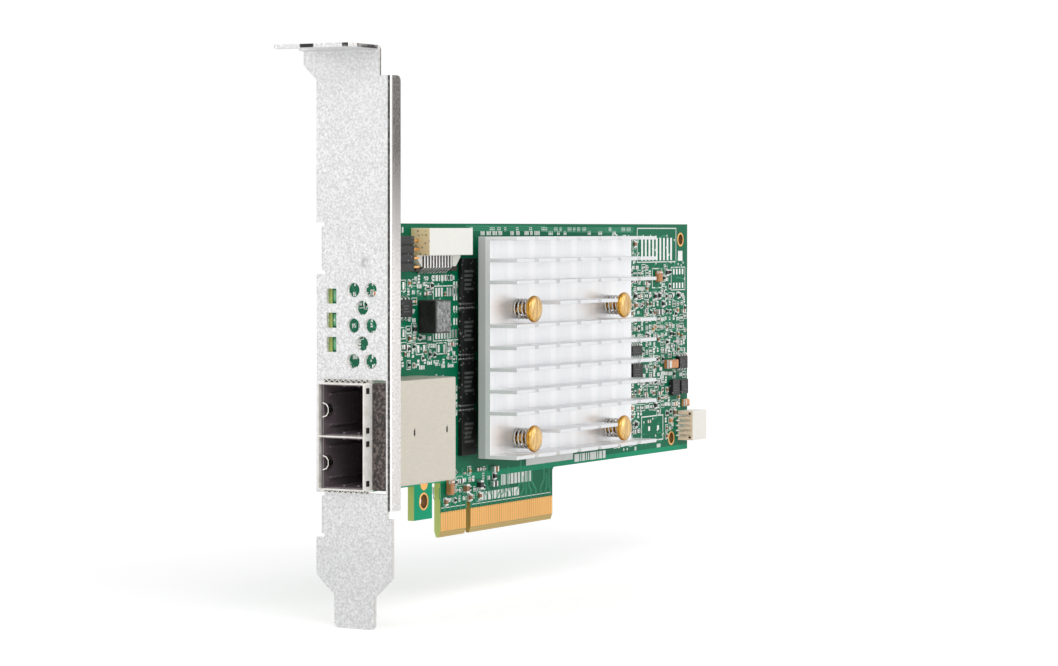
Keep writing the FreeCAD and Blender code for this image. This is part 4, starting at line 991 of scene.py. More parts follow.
class BoardSide:
    """One face of the board: the ground already taken on it, and the meshes of its details."""

    def __init__(self, name, level, outward, seed):
        self.name, self.level, self.outward = name, level, outward
        self.taken = []
        self.chance = random.Random(seed)
        self.meshes = {}

    def mesh(self, kind):
        """The mesh of one kind of detail, made the first time that it is asked for."""
        if kind not in self.meshes:
            self.meshes[kind] = bmesh.new()
        return self.meshes[kind]

    def y(self, height):
        """The Y of a height in millimetres over this face."""
        return self.level + self.outward * height * MM

    def take(self, x0, x1, z0, z1, margin=0.0):
        m = margin * MM
        self.taken.append((x0 - m, x1 + m, z0 - m, z1 + m))

    def take_node(self, node, margin):
        for low, high in islands(node):
            self.take(low.x, high.x, low.z, high.z, margin)

    def is_free(self, x0, x1, z0, z1):
        return all(x1 <= a or x0 >= b or z1 <= c or z0 >= d for a, b, c, d in self.taken)

    def block(self, kind, x0, x1, z0, z1, low, high, material=0):
        """A block over this face: x and z in metres, its two heights in millimetres."""
        ys = sorted((self.y(low), self.y(high)))
        add_block(self.mesh(kind), (x0, ys[0], z0), (x1, ys[1], z1), material)

    def bar(self, x0, x1, z0, z1, height=0.02):
        """A printed bar."""
        self.block("print", x0, x1, z0, z1, 0.0, height)

    def frame_line(self, x0, x1, z0, z1, width=0.15):
        """A printed rectangle outline."""
        w = width * MM
        self.bar(x0, x1, z0, z0 + w)
        self.bar(x0, x1, z1 - w, z1)
        self.bar(x0, x0 + w, z0 + w, z1 - w)
        self.bar(x1 - w, x1, z0 + w, z1 - w)

    def pad(self, x0, x1, z0, z1, height=0.05):
        """A bare tinned pad."""
        self.block("pads", x0, x1, z0, z1, 0.0, height)

    def line(self, points, width):
        """A copper line under the mask, through (x, z) points, with mitred bends."""
        mesh, half = self.mesh("lines"), width / 2
        top, foot = self.y(0.03), self.y(0.0)
        rows = []
        for i, (x, z) in enumerate(points):
            here = Vector((x, z))
            before = Vector(points[i - 1]) if i else here * 2 - Vector(points[1])
            after = Vector(points[i + 1]) if i + 1 < len(points) else here * 2 - before
            along_in, along_out = (here - before).normalized(), (after - here).normalized()
            across = Vector((-(along_in + along_out).y, (along_in + along_out).x)).normalized()
            reach = half / max(0.4, across.dot(Vector((-along_in.y, along_in.x))))
            left, right = here + across * reach, here - across * reach
            rim = half * 0.35
            rows.append([
                mesh.verts.new((left.x + across.x * rim, foot, left.y + across.y * rim)),
                mesh.verts.new((left.x, top, left.y)),
                mesh.verts.new((right.x, top, right.y)),
                mesh.verts.new((right.x - across.x * rim, foot, right.y - across.y * rim)),
            ])
        for here, ahead in zip(rows, rows[1:]):
            for k in range(3):
                mesh.faces.new((here[k], here[k + 1], ahead[k + 1], ahead[k]))

    def via(self, x, z, width, sides=10):
        """A small plated hole: a domed ring with a dark middle."""
        mesh = self.mesh("vias")
        profile = ((0.5, 0.0), (0.42, 0.035), (0.24, 0.03), (0.22, 0.005))
        rings = [
            circle(mesh, x, self.y(height), z, width * share, sides) for share, height in profile
        ]
        skin(mesh, rings)
        mesh.faces.new(rings[-1]).material_index = 1

    def joint(self, x, z, width, reach):
        """A through-hole pin's tip in its cone of solder; width and reach in millimetres."""
        mesh = self.mesh("joints")
        profile = ((0.5, 0.02), (0.46, 0.12), (0.3, 0.3), (0.2, 0.5), (0.17, reach - 0.1),
                   (0.1, reach))
        rings = [
            circle(mesh, x, self.y(height), z, width * share * MM, 16)
            for share, height in profile
        ]
        skin(mesh, rings)
        mesh.faces.new(rings[-1])

    def small_part(self, x, z, length, width, height, upright, kind):
        """A two-ended part: its body, its metal ends and a wedge of solder at each end."""
        def block(mesh, a0, a1, b0, b1, low, high, material=0):
            """A block whose first span runs along the part, in millimetres."""
            spans = (b0, b1, a0, a1) if upright else (a0, a1, b0, b1)
            self.block(mesh, x + spans[0] * MM, x + spans[1] * MM,
                       z + spans[2] * MM, z + spans[3] * MM, low, high, material)

        end, half = length / 2, width / 2
        inner = length * 0.28
        block(kind, -inner, inner, -half * 0.95, half * 0.95, 0.03, height * 0.97)
        for side in (-1, 1):
            near, far = sorted((side * inner, side * end))
            block("ends", near, far, -half, half, 0.02, height)
            near, far = sorted((side * end * 0.96, side * (end + 0.22)))
            block("solder", near, far, -half * 0.9, half * 0.9, 0.0, height * 0.3)
        spread_x, spread_z = (half, end) if upright else (end, half)
        self.take(x - spread_x * MM, x + spread_x * MM, z - spread_z * MM, z + spread_z * MM, 0.3)

    def marks(self, x, z, along, count):
        """A short row of plain printed blocks beside a part."""
        step = 0.0
        tall = 0.9 * MM
        for _ in range(count):
            wide = self.chance.choice((0.35, 0.5, 0.6))
            first, last = step * MM, (step + wide) * MM
            if along:
                self.bar(x + first, x + last, z, z + tall)
            else:
                self.bar(x, x + tall, z + first, z + last)
            step += wide + 0.18


# The scattered parts' lengths, widths and heights in millimetres, and how often each kind comes
CASES = (
    (1.0, 0.5, 0.5), (1.6, 0.8, 0.6), (1.2, 0.6, 0.35), (1.0, 0.5, 0.45), (1.5, 1.0, 0.6),
    (0.9, 0.45, 0.3), (1.2, 0.7, 0.5),
)
KINDS = ("capacitors",) * 4 + ("resistors",) * 10 + ("ambers",)


def polarity_bands():
    """A pale band on one end of each moulded capacitor."""
    mesh = bmesh.new()
    for low, high in islands("tantalum_capacitors"):
        skin, top = 0.015 * MM, 0.2 * MM
        first, last = Vector(low), Vector(high)
        if high.x - low.x > high.z - low.z:
            last.x = low.x + (high.x - low.x) * 0.26
        else:
            first.z = high.z - (high.z - low.z) * 0.26
        add_block(mesh, (first.x + top, low.y - skin, first.z + top),
                  (last.x, low.y + top, last.z - top))
        add_block(mesh, (first.x - skin, low.y + top, first.z - skin),
                  (last.x, low.y + 3 * top, last.z + skin))
    make_piece("polarity_bands", mesh, ["label_paper"])


def print_round(side, x, z, dx, dz, upright, ink):
    """A printed outline round a small part, or two bars at its sides, as chance has it."""
    if side.chance.random() < ink * 0.45:
        gap = 0.42 * MM
        outline = x - dx - gap, x + dx + gap, z - dz - gap, z + dz + gap
        side.frame_line(*outline, 0.14)
        side.take(*outline, 0.1)
    elif side.chance.random() < ink:
        gap = 0.32 * MM
        if upright:
            side.bar(x - dx - gap * 0.6, x - dx, z - dz, z + dz)
            side.bar(x + dx, x + dx + gap * 0.6, z - dz, z + dz)
        else:
            side.bar(x - dx, x + dx, z - dz - gap * 0.6, z - dz)
            side.bar(x - dx, x + dx, z + dz, z + dz + gap * 0.6)


def scatter_parts(side, start, end, low, high, step_x, step_z, share, ink):
    """Small parts over a field of the board, each with its outline or marks, where it is free.
    Distances are millimetres behind the bracket's face and up from the slot."""
    chance, via_width = side.chance, sizes().via_width
    columns, rows = int((end - start) / step_x), int((high - low) / step_z)
    for row in range(rows):
        for column in range(columns):
            x = at(start + (column + 0.5) * step_x + chance.uniform(-0.2, 0.2))
            z = (low + (row + 0.5) * step_z + chance.uniform(-0.2, 0.2)) * MM
            length, width, height = chance.choice(CASES)
            upright = chance.random() < 0.5
            dx, dz = (width, length) if upright else (length, width)
            dx, dz = (dx / 2 + 0.12) * MM, (dz / 2 + 0.12) * MM
            kind = chance.choice(KINDS)
            roll = chance.random()
            if not side.is_free(x - dx, x + dx, z - dz, z + dz):
                continue
            if roll < share:
                side.small_part(x, z, length, width, height, upright, kind)
                print_round(side, x, z, dx, dz, upright, ink)
            elif roll < share + 0.5 * ink:
                left, foot = x - 0.8 * MM, z - 0.45 * MM
                side.marks(left, foot, chance.random() < 0.6, chance.choice((2, 3)))
                side.take(left, x + 0.6 * MM, foot, z + 0.45 * MM)
            elif roll < share + 0.8 * ink:
                side.pad(x - 0.3 * MM, x + 0.3 * MM, z - 0.35 * MM, z + 0.35 * MM)
                side.via(x + 0.8 * MM, z + 0.2 * MM, via_width)
            else:
                side.via(x, z, via_width)


def route(side, start, end, lane):
    """A copper line between two (x, z) places: straight, a 45 degree run, and straight."""
    (x0, z0), (x1, z1) = start, end
    dx, dz = x1 - x0, z1 - z0
    if abs(dx) > abs(dz):
        run = math.copysign(abs(dz), dx)
        turn = x0 + (dx - run) * lane
        points = [(x0, z0), (turn, z0), (turn + run, z1), (x1, z1)]
    else:
        run = math.copysign(abs(dx), dz)
        turn = z0 + (dz - run) * lane
        points = [(x0, z0), (x0, turn), (x1, turn + run), (x1, z1)]
    kept = [points[0]]
    for point in points[1:]:
        if (Vector(point) - Vector(kept[-1])).length > 0.05 * MM:
            kept.append(point)
    if len(kept) > 1:
        side.line(kept, sizes().trace_width)


def finger_lines(side):
    """Pairs of lines from the fingers up towards the controller."""
    low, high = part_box("edge_contacts_front")
    for i in range(22):
        x = low.x + (1.4 + i * 2.3) * MM
        lift = (11.0 + (i % 5) * 0.9) * MM
        shift = ((i * 7) % 9 - 4) * 0.5 * MM
        for offset in (0.0, 0.45 * MM):
            route(side, (x + offset, high.z + 0.2 * MM), (x + offset + shift, lift), 0.3)


def lane_lines(side, start, end, low, high, count):
    """Paired lines between the ports and the controller."""
    for i in range(count):
        z = (low + (high - low) * i / count) * MM
        rise = (((i * 5) % 7) - 3) * 0.45 * MM
        for offset in (0.0, 0.42 * MM):
            route(side, (at(start), z + offset), (at(end), z + offset + rise), 0.25 + 0.05 * (i % 5))


def bus_lines(side, start, end, z, count, drop):
    """A bus of parallel lines along the board that steps down once."""
    for i in range(count):
        level = (z - i * 0.45) * MM
        route(side, (at(start + i * 0.45), level), (at(end - i * 0.3), level - drop * MM), 0.45)


def stray_lines(side, start, end, low, high, count):
    """Short lines between the small parts, each ending in a plated hole."""
    chance = side.chance
    for _ in range(count):
        x, z = at(chance.uniform(start, end)), chance.uniform(low, high) * MM
        reach_x, reach_z = chance.uniform(-6, 6) * MM, chance.uniform(-4, 4) * MM
        x1 = min(max(x + reach_x, at(start)), at(end))
        z1 = min(max(z + reach_z, low * MM), high * MM)
        route(side, (x, z), (x1, z1), chance.uniform(0.1, 0.9))
        width = sizes().via_width / 2
        if side.is_free(x1 - width, x1 + width, z1 - width, z1 + width):
            side.via(x1, z1, sizes().via_width)


def printed_footprint(side, start, low, length, tall, pads, pad_tall, pad_wide):
    """A printed outline with a row of bare pads inside its upper and lower edges."""
    x0, x1 = at(start), at(start + length)
    z0, z1 = low * MM, (low + tall) * MM
    side.frame_line(x0, x1, z0, z1, 0.22)
    step = (length - 1.4) / pads
    for i in range(pads):
        x = at(start + 0.7 + (i + 0.5) * step)
        for z in (z0 + 0.5 * MM, z1 - (0.5 + pad_tall) * MM):
            half = pad_wide / 2 * MM
            if side.is_free(x - half, x + half, z, z + pad_tall * MM):
                side.pad(x - half, x + half, z, z + pad_tall * MM)
    side.take(x0, x1, z0, z1, 0.2)


def printed_blocks(side, start, low, widths, tall):
    """A row of plain printed blocks."""
    x = start
    for wide in widths:
        side.bar(at(x), at(x + wide), low * MM, (low + tall) * MM)
        x += wide + 0.45
    side.take(at(start), at(x), low * MM, (low + tall) * MM, 0.2)


# Each kind of detail: its finishes and its slot
DETAILS = {
    "print": (["print_ink"], "label_paper"),
    "pads": (["tinned_metal"], "tinned_metal"),
    "lines": (["raised_mask"], "board_laminate"),
    "vias": (["tinned_metal", "dark_hole"], "tinned_metal"),
    "joints": (["tinned_metal"], "tinned_metal"),
    "capacitors": (["capacitor_ceramic"], "capacitor_ceramic"),
    "resistors": (["resistor_ceramic"], "resistor_ceramic"),
    "ambers": (["tantalum_moulding"], "tantalum_moulding"),
    "ends": (["tinned_metal"], "tinned_metal"),
    "solder": (["tinned_metal"], "tinned_metal"),
}
ROUNDED_DETAILS = {"capacitors", "resistors", "ambers", "ends", "solder"}


def place_side(side):
    """Makes the pieces of one face from its meshes."""
    for kind, mesh in side.meshes.items():
        materials, slot = DETAILS[kind]
        piece = make_piece(side.name + "_" + kind, mesh, materials, smooth=35)
        if kind in ROUNDED_DETAILS:
            add_bevel(piece, 0.05 * MM, 1, 30)


def mark_row(side, start, end, low, share):
    """A row of short runs of printed marks, with gaps, where the board is free."""
    pitch, tall = 0.7, 0.9
    x = start
    while x < end:
        count = side.chance.choice((2, 3, 4))
        if side.chance.random() < share:
            foot = (low + side.chance.choice((0.0, tall))) * MM
            ground = at(x), at(x + pitch * count), foot, foot + tall * MM
            if side.is_free(*ground):
                side.marks(at(x), foot, True, count)
                side.take(*ground)
        x += pitch * count + 0.6


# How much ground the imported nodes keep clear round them, in millimetres
FRONT_MARGINS = {
    "heat_sink": 0.2, "port_cage": 0.3, "shroud_housing": 0.3, "shroud_leads": 0.2,
    "pin_header_body": 0.3, "pin_header_pins": 0.3, "side_header_housing": 0.3,
    "side_header_contacts": 0.2, "memory_chips": 0.5, "leaded_chips": 0.2, "chip_leads": 0.15,
    "power_inductor": 0.3, "tantalum_capacitors": 0.25, "small_part_terminals": 0.15,
    "ceramic_capacitors": 0.15, "chip_resistors": 0.15, "status_leds": 0.3, "board_label": 0.2,
    "bracket_screws": 0.8, "plated_rings": 0.4,
}
BACK_MARGINS = {
    "bracket": 0.4, "push_pins": 0.5, "plated_rings": 0.4, "edge_contacts_back": 0.4,
    "solder_side_terminals": 0.15, "solder_side_capacitors": 0.15,
}


def front_copper(side):
    """The copper lines of the component side."""
    finger_lines(side)
    lane_lines(side, 34.5, 52.0, 15.0, 35.0, 14)
    stray_lines(side, 126.0, 166.0, 14.0, 66.0, 150)
    stray_lines(side, 24.0, 53.0, 38.0, 57.0, 70)
    stray_lines(side, 3.8, 24.0, 38.0, 58.0, 30)
    bus_lines(side, 56.0, 138.0, 68.3, 3, 0.4)


def empty_footprints(side):
    """Printed outlines and bare pads where no part is fitted."""
    side.frame_line(*span(139.7, 161.3, 59.4, 68.0), 0.25)
    for i in range(9):
        start = 141.9 + i * 2.0
        side.pad(*span(start, start + 0.95, 59.9, 65.5))
    side.take(*span(139.7, 161.3, 59.0, 68.3))
    side.pad(*span(162.3, 164.8, 59.7, 62.2))
    side.take(*span(162.0, 165.0, 59.4, 62.5))
    side.frame_line(*span(147.9, 153.4, 53.0, 58.0), 0.25)
    side.take(*span(147.6, 153.7, 52.7, 58.3))
    printed_footprint(side, 158.4, 52.3, 8.0, 5.9, 4, 1.4, 0.8)
    printed_footprint(side, 41.9, 43.1, 12.3, 12.2, 9, 1.9, 0.75)


def edge_print(side):
    """Plain printed blocks and thin lines under the sink and along the board's edges."""
    printed_blocks(side, 72.0, 9.6, (2.4,) + (1.2,) * 7, 2.4)
    printed_blocks(side, 62.8, 6.8, (1.2, 1.2, 1.2, 0.5, 1.2, 1.2, 1.2, 1.2, 1.2, 0.5, 2.4), 1.9)
    printed_blocks(side, 107.2, 12.6, (2.4, 0.6, 1.4, 0.6, 0.6, 3.2, 0.6, 1.4, 1.4), 1.8)
    side.bar(*span(45.4, 55.7, 6.34, 6.5))
    side.bar(*span(58.9, 95.4, 6.2, 6.36))
    for start, end, low, share in (
        (56.0, 139.0, 66.3, 0.75), (56.0, 139.0, 66.3, 0.6), (98.0, 162.0, 13.4, 0.22),
        (34.0, 51.0, 56.5, 0.7), (36.0, 51.0, 37.2, 0.6),
    ):
        mark_row(side, start, end, low, share)
    for z in (26.0, 29.4, 32.8):
        side.marks(at(47.6), z * MM, False, 3)
        side.take(*span(47.6, 48.6, z, z + 2.2))


def port_side_print(side):
    """Plain blocks, and outlines round bare pads, between the ports and the sink."""
    printed_blocks(side, 41.5, 56.3, (1.0, 1.0, 0.5, 1.0, 1.0, 0.5, 1.0), 1.3)
    for low in (66.9, 64.9, 62.9):
        printed_blocks(side, 23.4, low, (1.0, 0.6, 1.0, 1.0, 0.6), 1.2)
    for low in (54.6, 51.9, 49.2, 46.5):
        printed_blocks(side, 50.6, low, (0.7, 0.5), 1.5)
    for start, low in ((26.0, 54.2), (26.0, 44.0), (34.6, 40.4), (43.2, 40.2)):
        outline = span(start, start + 4.4, low, low + 2.6)
        side.frame_line(*outline, 0.2)
        for shift in (0.6, 3.0):
            side.pad(*span(start + shift, start + shift + 0.8, low + 0.5, low + 2.1))
        side.take(*outline, 0.2)


def memory_side_print(side):
    """An open square with two pale dots, and columns of plain blocks beside the sink."""
    side.frame_line(*span(142.0, 154.0, 15.2, 21.5), 0.28)
    for start in (145.7, 150.6):
        side.pad(*span(start, start + 1.0, 17.8, 18.9))
    side.take(*span(141.7, 154.3, 15.0, 21.8))
    for low in (26.4, 28.2, 30.0, 31.8):
        for start, wide in ((50.3, 0.8), (51.3, 0.35), (51.8, 0.45)):
            side.bar(*span(start, start + wide, low, low + 1.3))
    side.take(*span(50.0, 52.4, 26.0, 33.6))


def memory_resistors(side):
    """A row of resistors in each gap between the memory chips."""
    chips = sorted(islands("memory_chips"), key=lambda box: box[0].z)
    for (low, high), (above, _) in zip(chips, chips[1:]):
        z = (high.z + above.z) / 2
        for i in range(5):
            x = low.x + (0.72 + 1.29 * i) * MM
            side.small_part(x, z, 1.2, 1.15, 0.6, True, "resistors")


def test_land(side):
    """One round gold land near the lower edge."""
    land = bmesh.new()
    profile = [(side.y(0.06), 1.45 * MM), (FACE, 1.5 * MM)]
    add_turned(land, at(38.05), 12.4 * MM, profile, 40)
    make_piece("test_land", land, ["gold_plate"])


def component_side():
    """Everything small on the face with the heat sink."""
    side = BoardSide("front", FACE, -1, 11)
    for node, margin in FRONT_MARGINS.items():
        side.take_node(node, margin)
    front_copper(side)
    empty_footprints(side)
    edge_print(side)
    port_side_print(side)
    memory_side_print(side)
    memory_resistors(side)
    test_land(side)
    for grid in ((2.15, 1.95), (1.55, 1.4), (1.25, 1.15), (1.0, 0.95)):
        scatter_parts(side, 124.6, 167.0, 15.0, 58.8, *grid, 0.6, 0.9)
        scatter_parts(side, 124.6, 139.5, 58.8, 66.4, *grid, 0.5, 0.9)
        scatter_parts(side, 24.2, 54.5, 37.4, 57.4, *grid, 0.6, 0.9)
    scatter_parts(side, 3.8, 24.0, 37.4, 58.4, 2.4, 2.2, 0.4, 0.6)
    scatter_parts(side, 34.4, 52.0, 13.4, 37.0, 2.6, 2.6, 0.22, 0.35)
    scatter_parts(side, 46.0, 71.0, 6.9, 16.2, 2.15, 1.95, 0.55, 0.85)
    scatter_parts(side, 96.5, 124.0, 12.9, 16.4, 2.3, 1.8, 0.2, 0.5)
    place_side(side)


def ball_vias(side):
    """The grid of vias behind the controller, in an outline."""
    low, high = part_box("controller_substrate")
    count, inset = 30, 1 * MM
    pitch = (high.x - low.x - 2 * MM) / (count - 1)
    for row in range(count):
        for column in range(count):
            x, z = low.x + inset + column * pitch, low.z + inset + row * pitch
            ring = min(row, column, count - 1 - row, count - 1 - column)
            reach = 0.26 * MM
            if ring % 4 != 3 and side.is_free(x - reach, x + reach, z - reach, z + reach):
                side.via(x, z, 0.5 * MM, 8)
    side.take(low.x, high.x, low.z, high.z, 0.6)
    side.frame_line(low.x - inset, high.x + inset, low.z - inset, high.z + inset, 0.2)


def solder_joints(side):
    """Through-hole joints of the ports and the pin header."""
    for i in range(9):
        for z in (16.5, 19.3, 22.1, 28.0, 30.8, 33.6):
            side.joint(at(20.4 + i * 1.35), (z + 0.5 * (i % 2)) * MM, 1.0, 0.9)
    for x in (6.5, 15.5, 24.5, 32.8):
        for z in (14.3, 25.0, 35.7):
            side.joint(at(x), z * MM, 1.5, 1.1)
    side.take(*span(4.0, 34.5, 13.0, 37.0))
    for i in range(4):
        for column in (21.2, 22.0):
            side.joint(at(column), (65.25 - i * 1.9) * MM, 1.0, 1.0)
    side.take(*span(20.0, 23.4, 58.0, 67.0))


def back_copper(side):
    """The copper lines of the solder side."""
    lane_lines(side, 34.5, 68.0, 14.5, 35.5, 16)
    bus_lines(side, 30.0, 132.0, 67.6, 9, 4.0)
    bus_lines(side, 112.0, 164.0, 52.0, 8, 9.0)
    bus_lines(side, 112.0, 160.0, 24.0, 6, 4.0)
    stray_lines(side, 112.0, 165.0, 14.0, 66.0, 150)
    stray_lines(side, 36.0, 70.0, 38.0, 60.0, 90)
    finger_lines(side)


def solder_side():
    """Everything small on the other face."""
    side = BoardSide("back", BACK, 1, 23)
    for node, margin in BACK_MARGINS.items():
        side.take_node(node, margin)
    ball_vias(side)
    solder_joints(side)
    back_copper(side)
    printed_blocks(side, 120.0, 61.5, (1.2, 1.2, 0.5, 1.2, 1.2, 1.2), 1.8)
    printed_blocks(side, 40.0, 9.6, (1.2, 1.2, 1.2, 0.5, 1.2, 1.2), 1.6)
    scatter_parts(side, 112.0, 164.0, 14.5, 64.5, 3.4, 3.2, 0.34, 0.45)
    scatter_parts(side, 36.0, 68.5, 37.5, 62.0, 3.3, 3.1, 0.36, 0.45)
    scatter_parts(side, 45.0, 95.0, 7.0, 15.5, 3.0, 2.6, 0.3, 0.4)
    scatter_parts(side, 70.0, 110.0, 56.0, 64.0, 3.2, 2.6, 0.3, 0.4)
    place_side(side)


def chip_marks():
    """Dulled patches and a corner dot on the tops of the chips."""
    mesh = bmesh.new()
    for node in ("leaded_chips", "memory_chips"):
        for low, high in islands(node):
            wide, tall = high.x - low.x, high.z - low.z
            top = low.y - 0.004 * MM
            rows = 3 if tall < 5 * MM else 5
            for i in range(rows):
                z = low.z + tall * (0.28 + 0.5 * i / rows)
                reach = wide * (0.62 - 0.12 * ((i * 3) % 4) / 2)
                add_block(mesh, (low.x + wide * 0.16, top, z),
                          (low.x + wide * 0.16 + reach, low.y + 0.01 * MM, z + tall * 0.055))
            dot = 0.22 * MM
            add_turned(mesh, low.x + 0.55 * MM, high.z - 0.55 * MM,
                       [(top, dot), (low.y + 0.01 * MM, dot)], 20)
    make_piece("chip_top_marks", mesh, ["etched_mark"])


def header_tails():
    """The header's pins bent down to the board."""
    mesh = bmesh.new()
    for low, high in islands("pin_header_pins"):
        x = low.x
        level = (low.y + high.y) / 2
        z = (low.z + high.z) / 2
        half = 0.22 * MM
        reach = 0.5 * MM if level > out(1.6) else 1.3 * MM
        add_block(mesh, (x - reach, level - half, z - half), (x + 0.05 * MM, level + half, z + half))
        add_block(mesh, (x - reach - 2 * half, level - half, z - half), (x - reach, FACE, z + half))
    make_piece("header_pin_tails", mesh, ["gold_plate"], edge=0.05 * MM)


# Ports

def bays():
    """The two bays' heights, lower then upper, from the contact blocks in them."""
    spans = []
    for node in ("port_receptacle_lower", "port_receptacle_upper"):
        low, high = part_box(node)
        spans.append((low.z - 0.1 * MM, high.z + 0.1 * MM))
    return spans


def port_linings():
    """Dark mouldings inside the cage with guide ribs; its far wall, its windows and two punched dimples
    are filled in unlit dark as painted shade.
    """
    mesh = bmesh.new()
    front, rear = at(-2.5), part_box("port_receptacle_lower")[0].x
    mouth, ribs = front + 0.4 * MM, front + 3 * MM
    near, far = out(0.03), out(10.02)
    wall, rib = 0.22 * MM, 0.35 * MM
    for low, high in bays():
        low, high = low + 0.03 * MM, high - 0.03 * MM
        add_block(mesh, (front, near - wall, low), (rear, near, high))
        # Painted shade: the far wall in unlit dark
        add_block(mesh, (mouth, far, low), (rear, far + wall, high), 1)
        add_block(mesh, (mouth, far + wall, low), (rear, near - wall, low + wall))
        add_block(mesh, (mouth, far + wall, high - wall), (rear, near - wall, high))
        for share in (0.2, 0.8):
            z = low + (high - low) * share
            add_block(mesh, (front + 2 * MM, near - wall - 0.5 * MM, z - 0.25 * MM),
                      (rear, near - wall, z + 0.25 * MM))
        for share in (0.32, 0.68):
            y = near + (far - near) * share
            for foot in (low + wall, high - wall - rib):
                add_block(mesh, (ribs, y - 0.3 * MM, foot), (rear, y + 0.3 * MM, foot + rib))
        # Painted shade: dark blocks that fill the cage's windows
        for window in (low + 0.62 * MM, high - 1.78 * MM):
            add_block(mesh, (at(-2.28), out(10.36), window),
                      (at(-0.92), out(10.1), window + 1.16 * MM), 1)
    # Painted shade: two dark marks for punched dimples in the cage's side
    _, centre = centre_of(*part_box("port_cage"))
    for x in (at(17.0), at(30.4)):
        add_block(mesh, (x - 0.45 * MM, out(10.43), centre - 0.65 * MM),
                  (x + 0.15 * MM, out(10.3), centre + 0.5 * MM), 1)
    make_piece("port_linings", mesh, ["port_moulding", "dark_hole"], edge=0.04 * MM)


def port_contacts():
    """Gold blades on both sides of each card slot in the contact blocks."""
    mesh = bmesh.new()
    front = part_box("port_receptacle_lower")[0].x
    near, far = out(1.6), out(8.4)
    for low, high in bays():
        for share in (1 / 3, 2 / 3):
            z = low + (high - low) * share
            for i in range(9):
                y = near + (far - near) * (i + 0.5) / 9
                for side in (-1, 1):
                    root, tip = z + side * 0.6 * MM, z + side * 0.28 * MM
                    top, foot = max(root, tip), min(root, tip)
                    add_block(mesh, (front + 0.25 * MM, y - 0.14 * MM, foot),
                              (front + 3.0 * MM, y + 0.14 * MM, top))
    make_piece("port_contact_blades", mesh, ["gold_plate"], edge=0.04 * MM)


def latch_loops():
    """A formed spring loop at the board side of each bay's mouth."""
    mesh = bmesh.new()
    front, rear = at(-2.9), at(-1.2)
    seat = out(0.3)
    for low, high in bays():
        middle = (low + high) / 2
        outline = [
            (seat, middle + 1.6 * MM), (seat - 0.9 * MM, middle + 1.25 * MM),
            (seat - 1.35 * MM, middle + 0.5 * MM), (seat - 1.35 * MM, middle - 0.5 * MM),
            (seat - 0.9 * MM, middle - 1.25 * MM), (seat, middle - 1.6 * MM),
        ]
        thick = 0.18 * MM
        inner = [(y + thick, middle + (z - middle) * 0.86) for y, z in outline]
        rings = [
            [mesh.verts.new((x, y, z)) for y, z in outline + inner[::-1]] for x in (front, rear)
        ]
        skin(mesh, rings)
        count = len(rings[0])
        half = count // 2
        for ring in rings:
            for i in range(half - 1):
                mesh.faces.new((ring[i], ring[i + 1], ring[count - 2 - i], ring[count - 1 - i]))
    make_piece("latch_spring_loops", mesh, ["spring_sheet"], edge=0.03 * MM)


def grounding_fingers():
    """Wavy strips of thin spring sheet above and below the ports, one wave for each finger."""
    mesh = bmesh.new()
    thick, count, steps = 0.14 * MM, 8, 14
    _, centre = centre_of(*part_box("port_cage"))
    for low, high in islands("port_spring_fingers"):
        seat, crest = (low.z, high.z) if low.z > centre else (high.z, low.z)
        rows = []
        for i in range(count * steps + 1):
            share = i / (count * steps)
            y = high.y + (low.y - high.y) * share
            lift = 0.5 - 0.5 * math.cos(2 * math.pi * share * count)
            base = seat + (crest - seat - math.copysign(thick, crest - seat)) * lift
            top = base + math.copysign(thick, crest - seat)
            rows.append([
                mesh.verts.new((low.x, y, base)), mesh.verts.new((low.x, y, top)),
                mesh.verts.new((high.x, y, top)), mesh.verts.new((high.x, y, base)),
            ])
        skin(mesh, rows)
        close_ends(mesh, rows)
    make_piece("grounding_finger_strips", mesh, ["spring_sheet"],
               ["port_spring_fingers"], 50)


def machine_screws():
    """Pan-head screws with a cross recess and a threaded end."""
    sides = 48
    turns = [2 * math.pi * i / sides for i in range(sides)]
    recess = [0.42 + 0.9 * max(0.0, (abs(math.cos(2 * turn)) - 0.82) / 0.18) for turn in turns]
    head_form = ((0.0, 1.9), (0.12, 2.25), (0.5, 2.62), (0.9, 2.7), (1.9, 2.7), (1.9, 1.45))
    thread_form = ((0.25, 1.45), (0.5, 1.22), (0.75, 1.22), (1.0, 1.45))
    mesh = bmesh.new()
    for low, high in islands("bracket_screws"):
        x, z = centre_of(low, high)
        rings = []
        for depth, share in ((1.0, 0.6), (0.03, 1.0)):
            rings.append([
                mesh.verts.new((x + reach * share * MM * math.cos(turn), low.y + depth * MM,
                                z + reach * share * MM * math.sin(turn)))
                for reach, turn in zip(recess, turns)
            ])
        for depth, radius in head_form:
            rings.append(circle(mesh, x, low.y + depth * MM, z, radius * MM, sides))
        start = low.y + 1.9 * MM
        threads = int((high.y - start) / (0.5 * MM))
        for k in range(threads):
            for share, radius in thread_form:
                y = start + (high.y - start) * (k + share) / threads
                rings.append(circle(mesh, x, y, z, radius * MM, sides))
        skin(mesh, rings)
        close_ends(mesh, rings)
    make_piece("pan_head_screws", mesh, ["screw_steel"], ["bracket_screws"], 35)


def lead_shade_bar():
    """A dark brown bar over and behind the top connector's leads, as painted shade between them."""
    mesh = bmesh.new()
    low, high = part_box("shroud_housing")
    first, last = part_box("shroud_leads")
    add_block(mesh, (low.x + 0.6 * MM, out(1.0), first.z + 0.5 * MM),
              (high.x - 0.6 * MM, FACE, low.z + 0.1 * MM))
    add_block(mesh, (first.x - 0.4 * MM, first.y + 0.08 * MM, low.z + 0.02 * MM),
              (last.x + 0.4 * MM, first.y + 0.3 * MM, low.z + 2.3 * MM))
    make_piece("lead_shade_bar", mesh, ["lead_shade_brown"], edge=0.06 * MM)


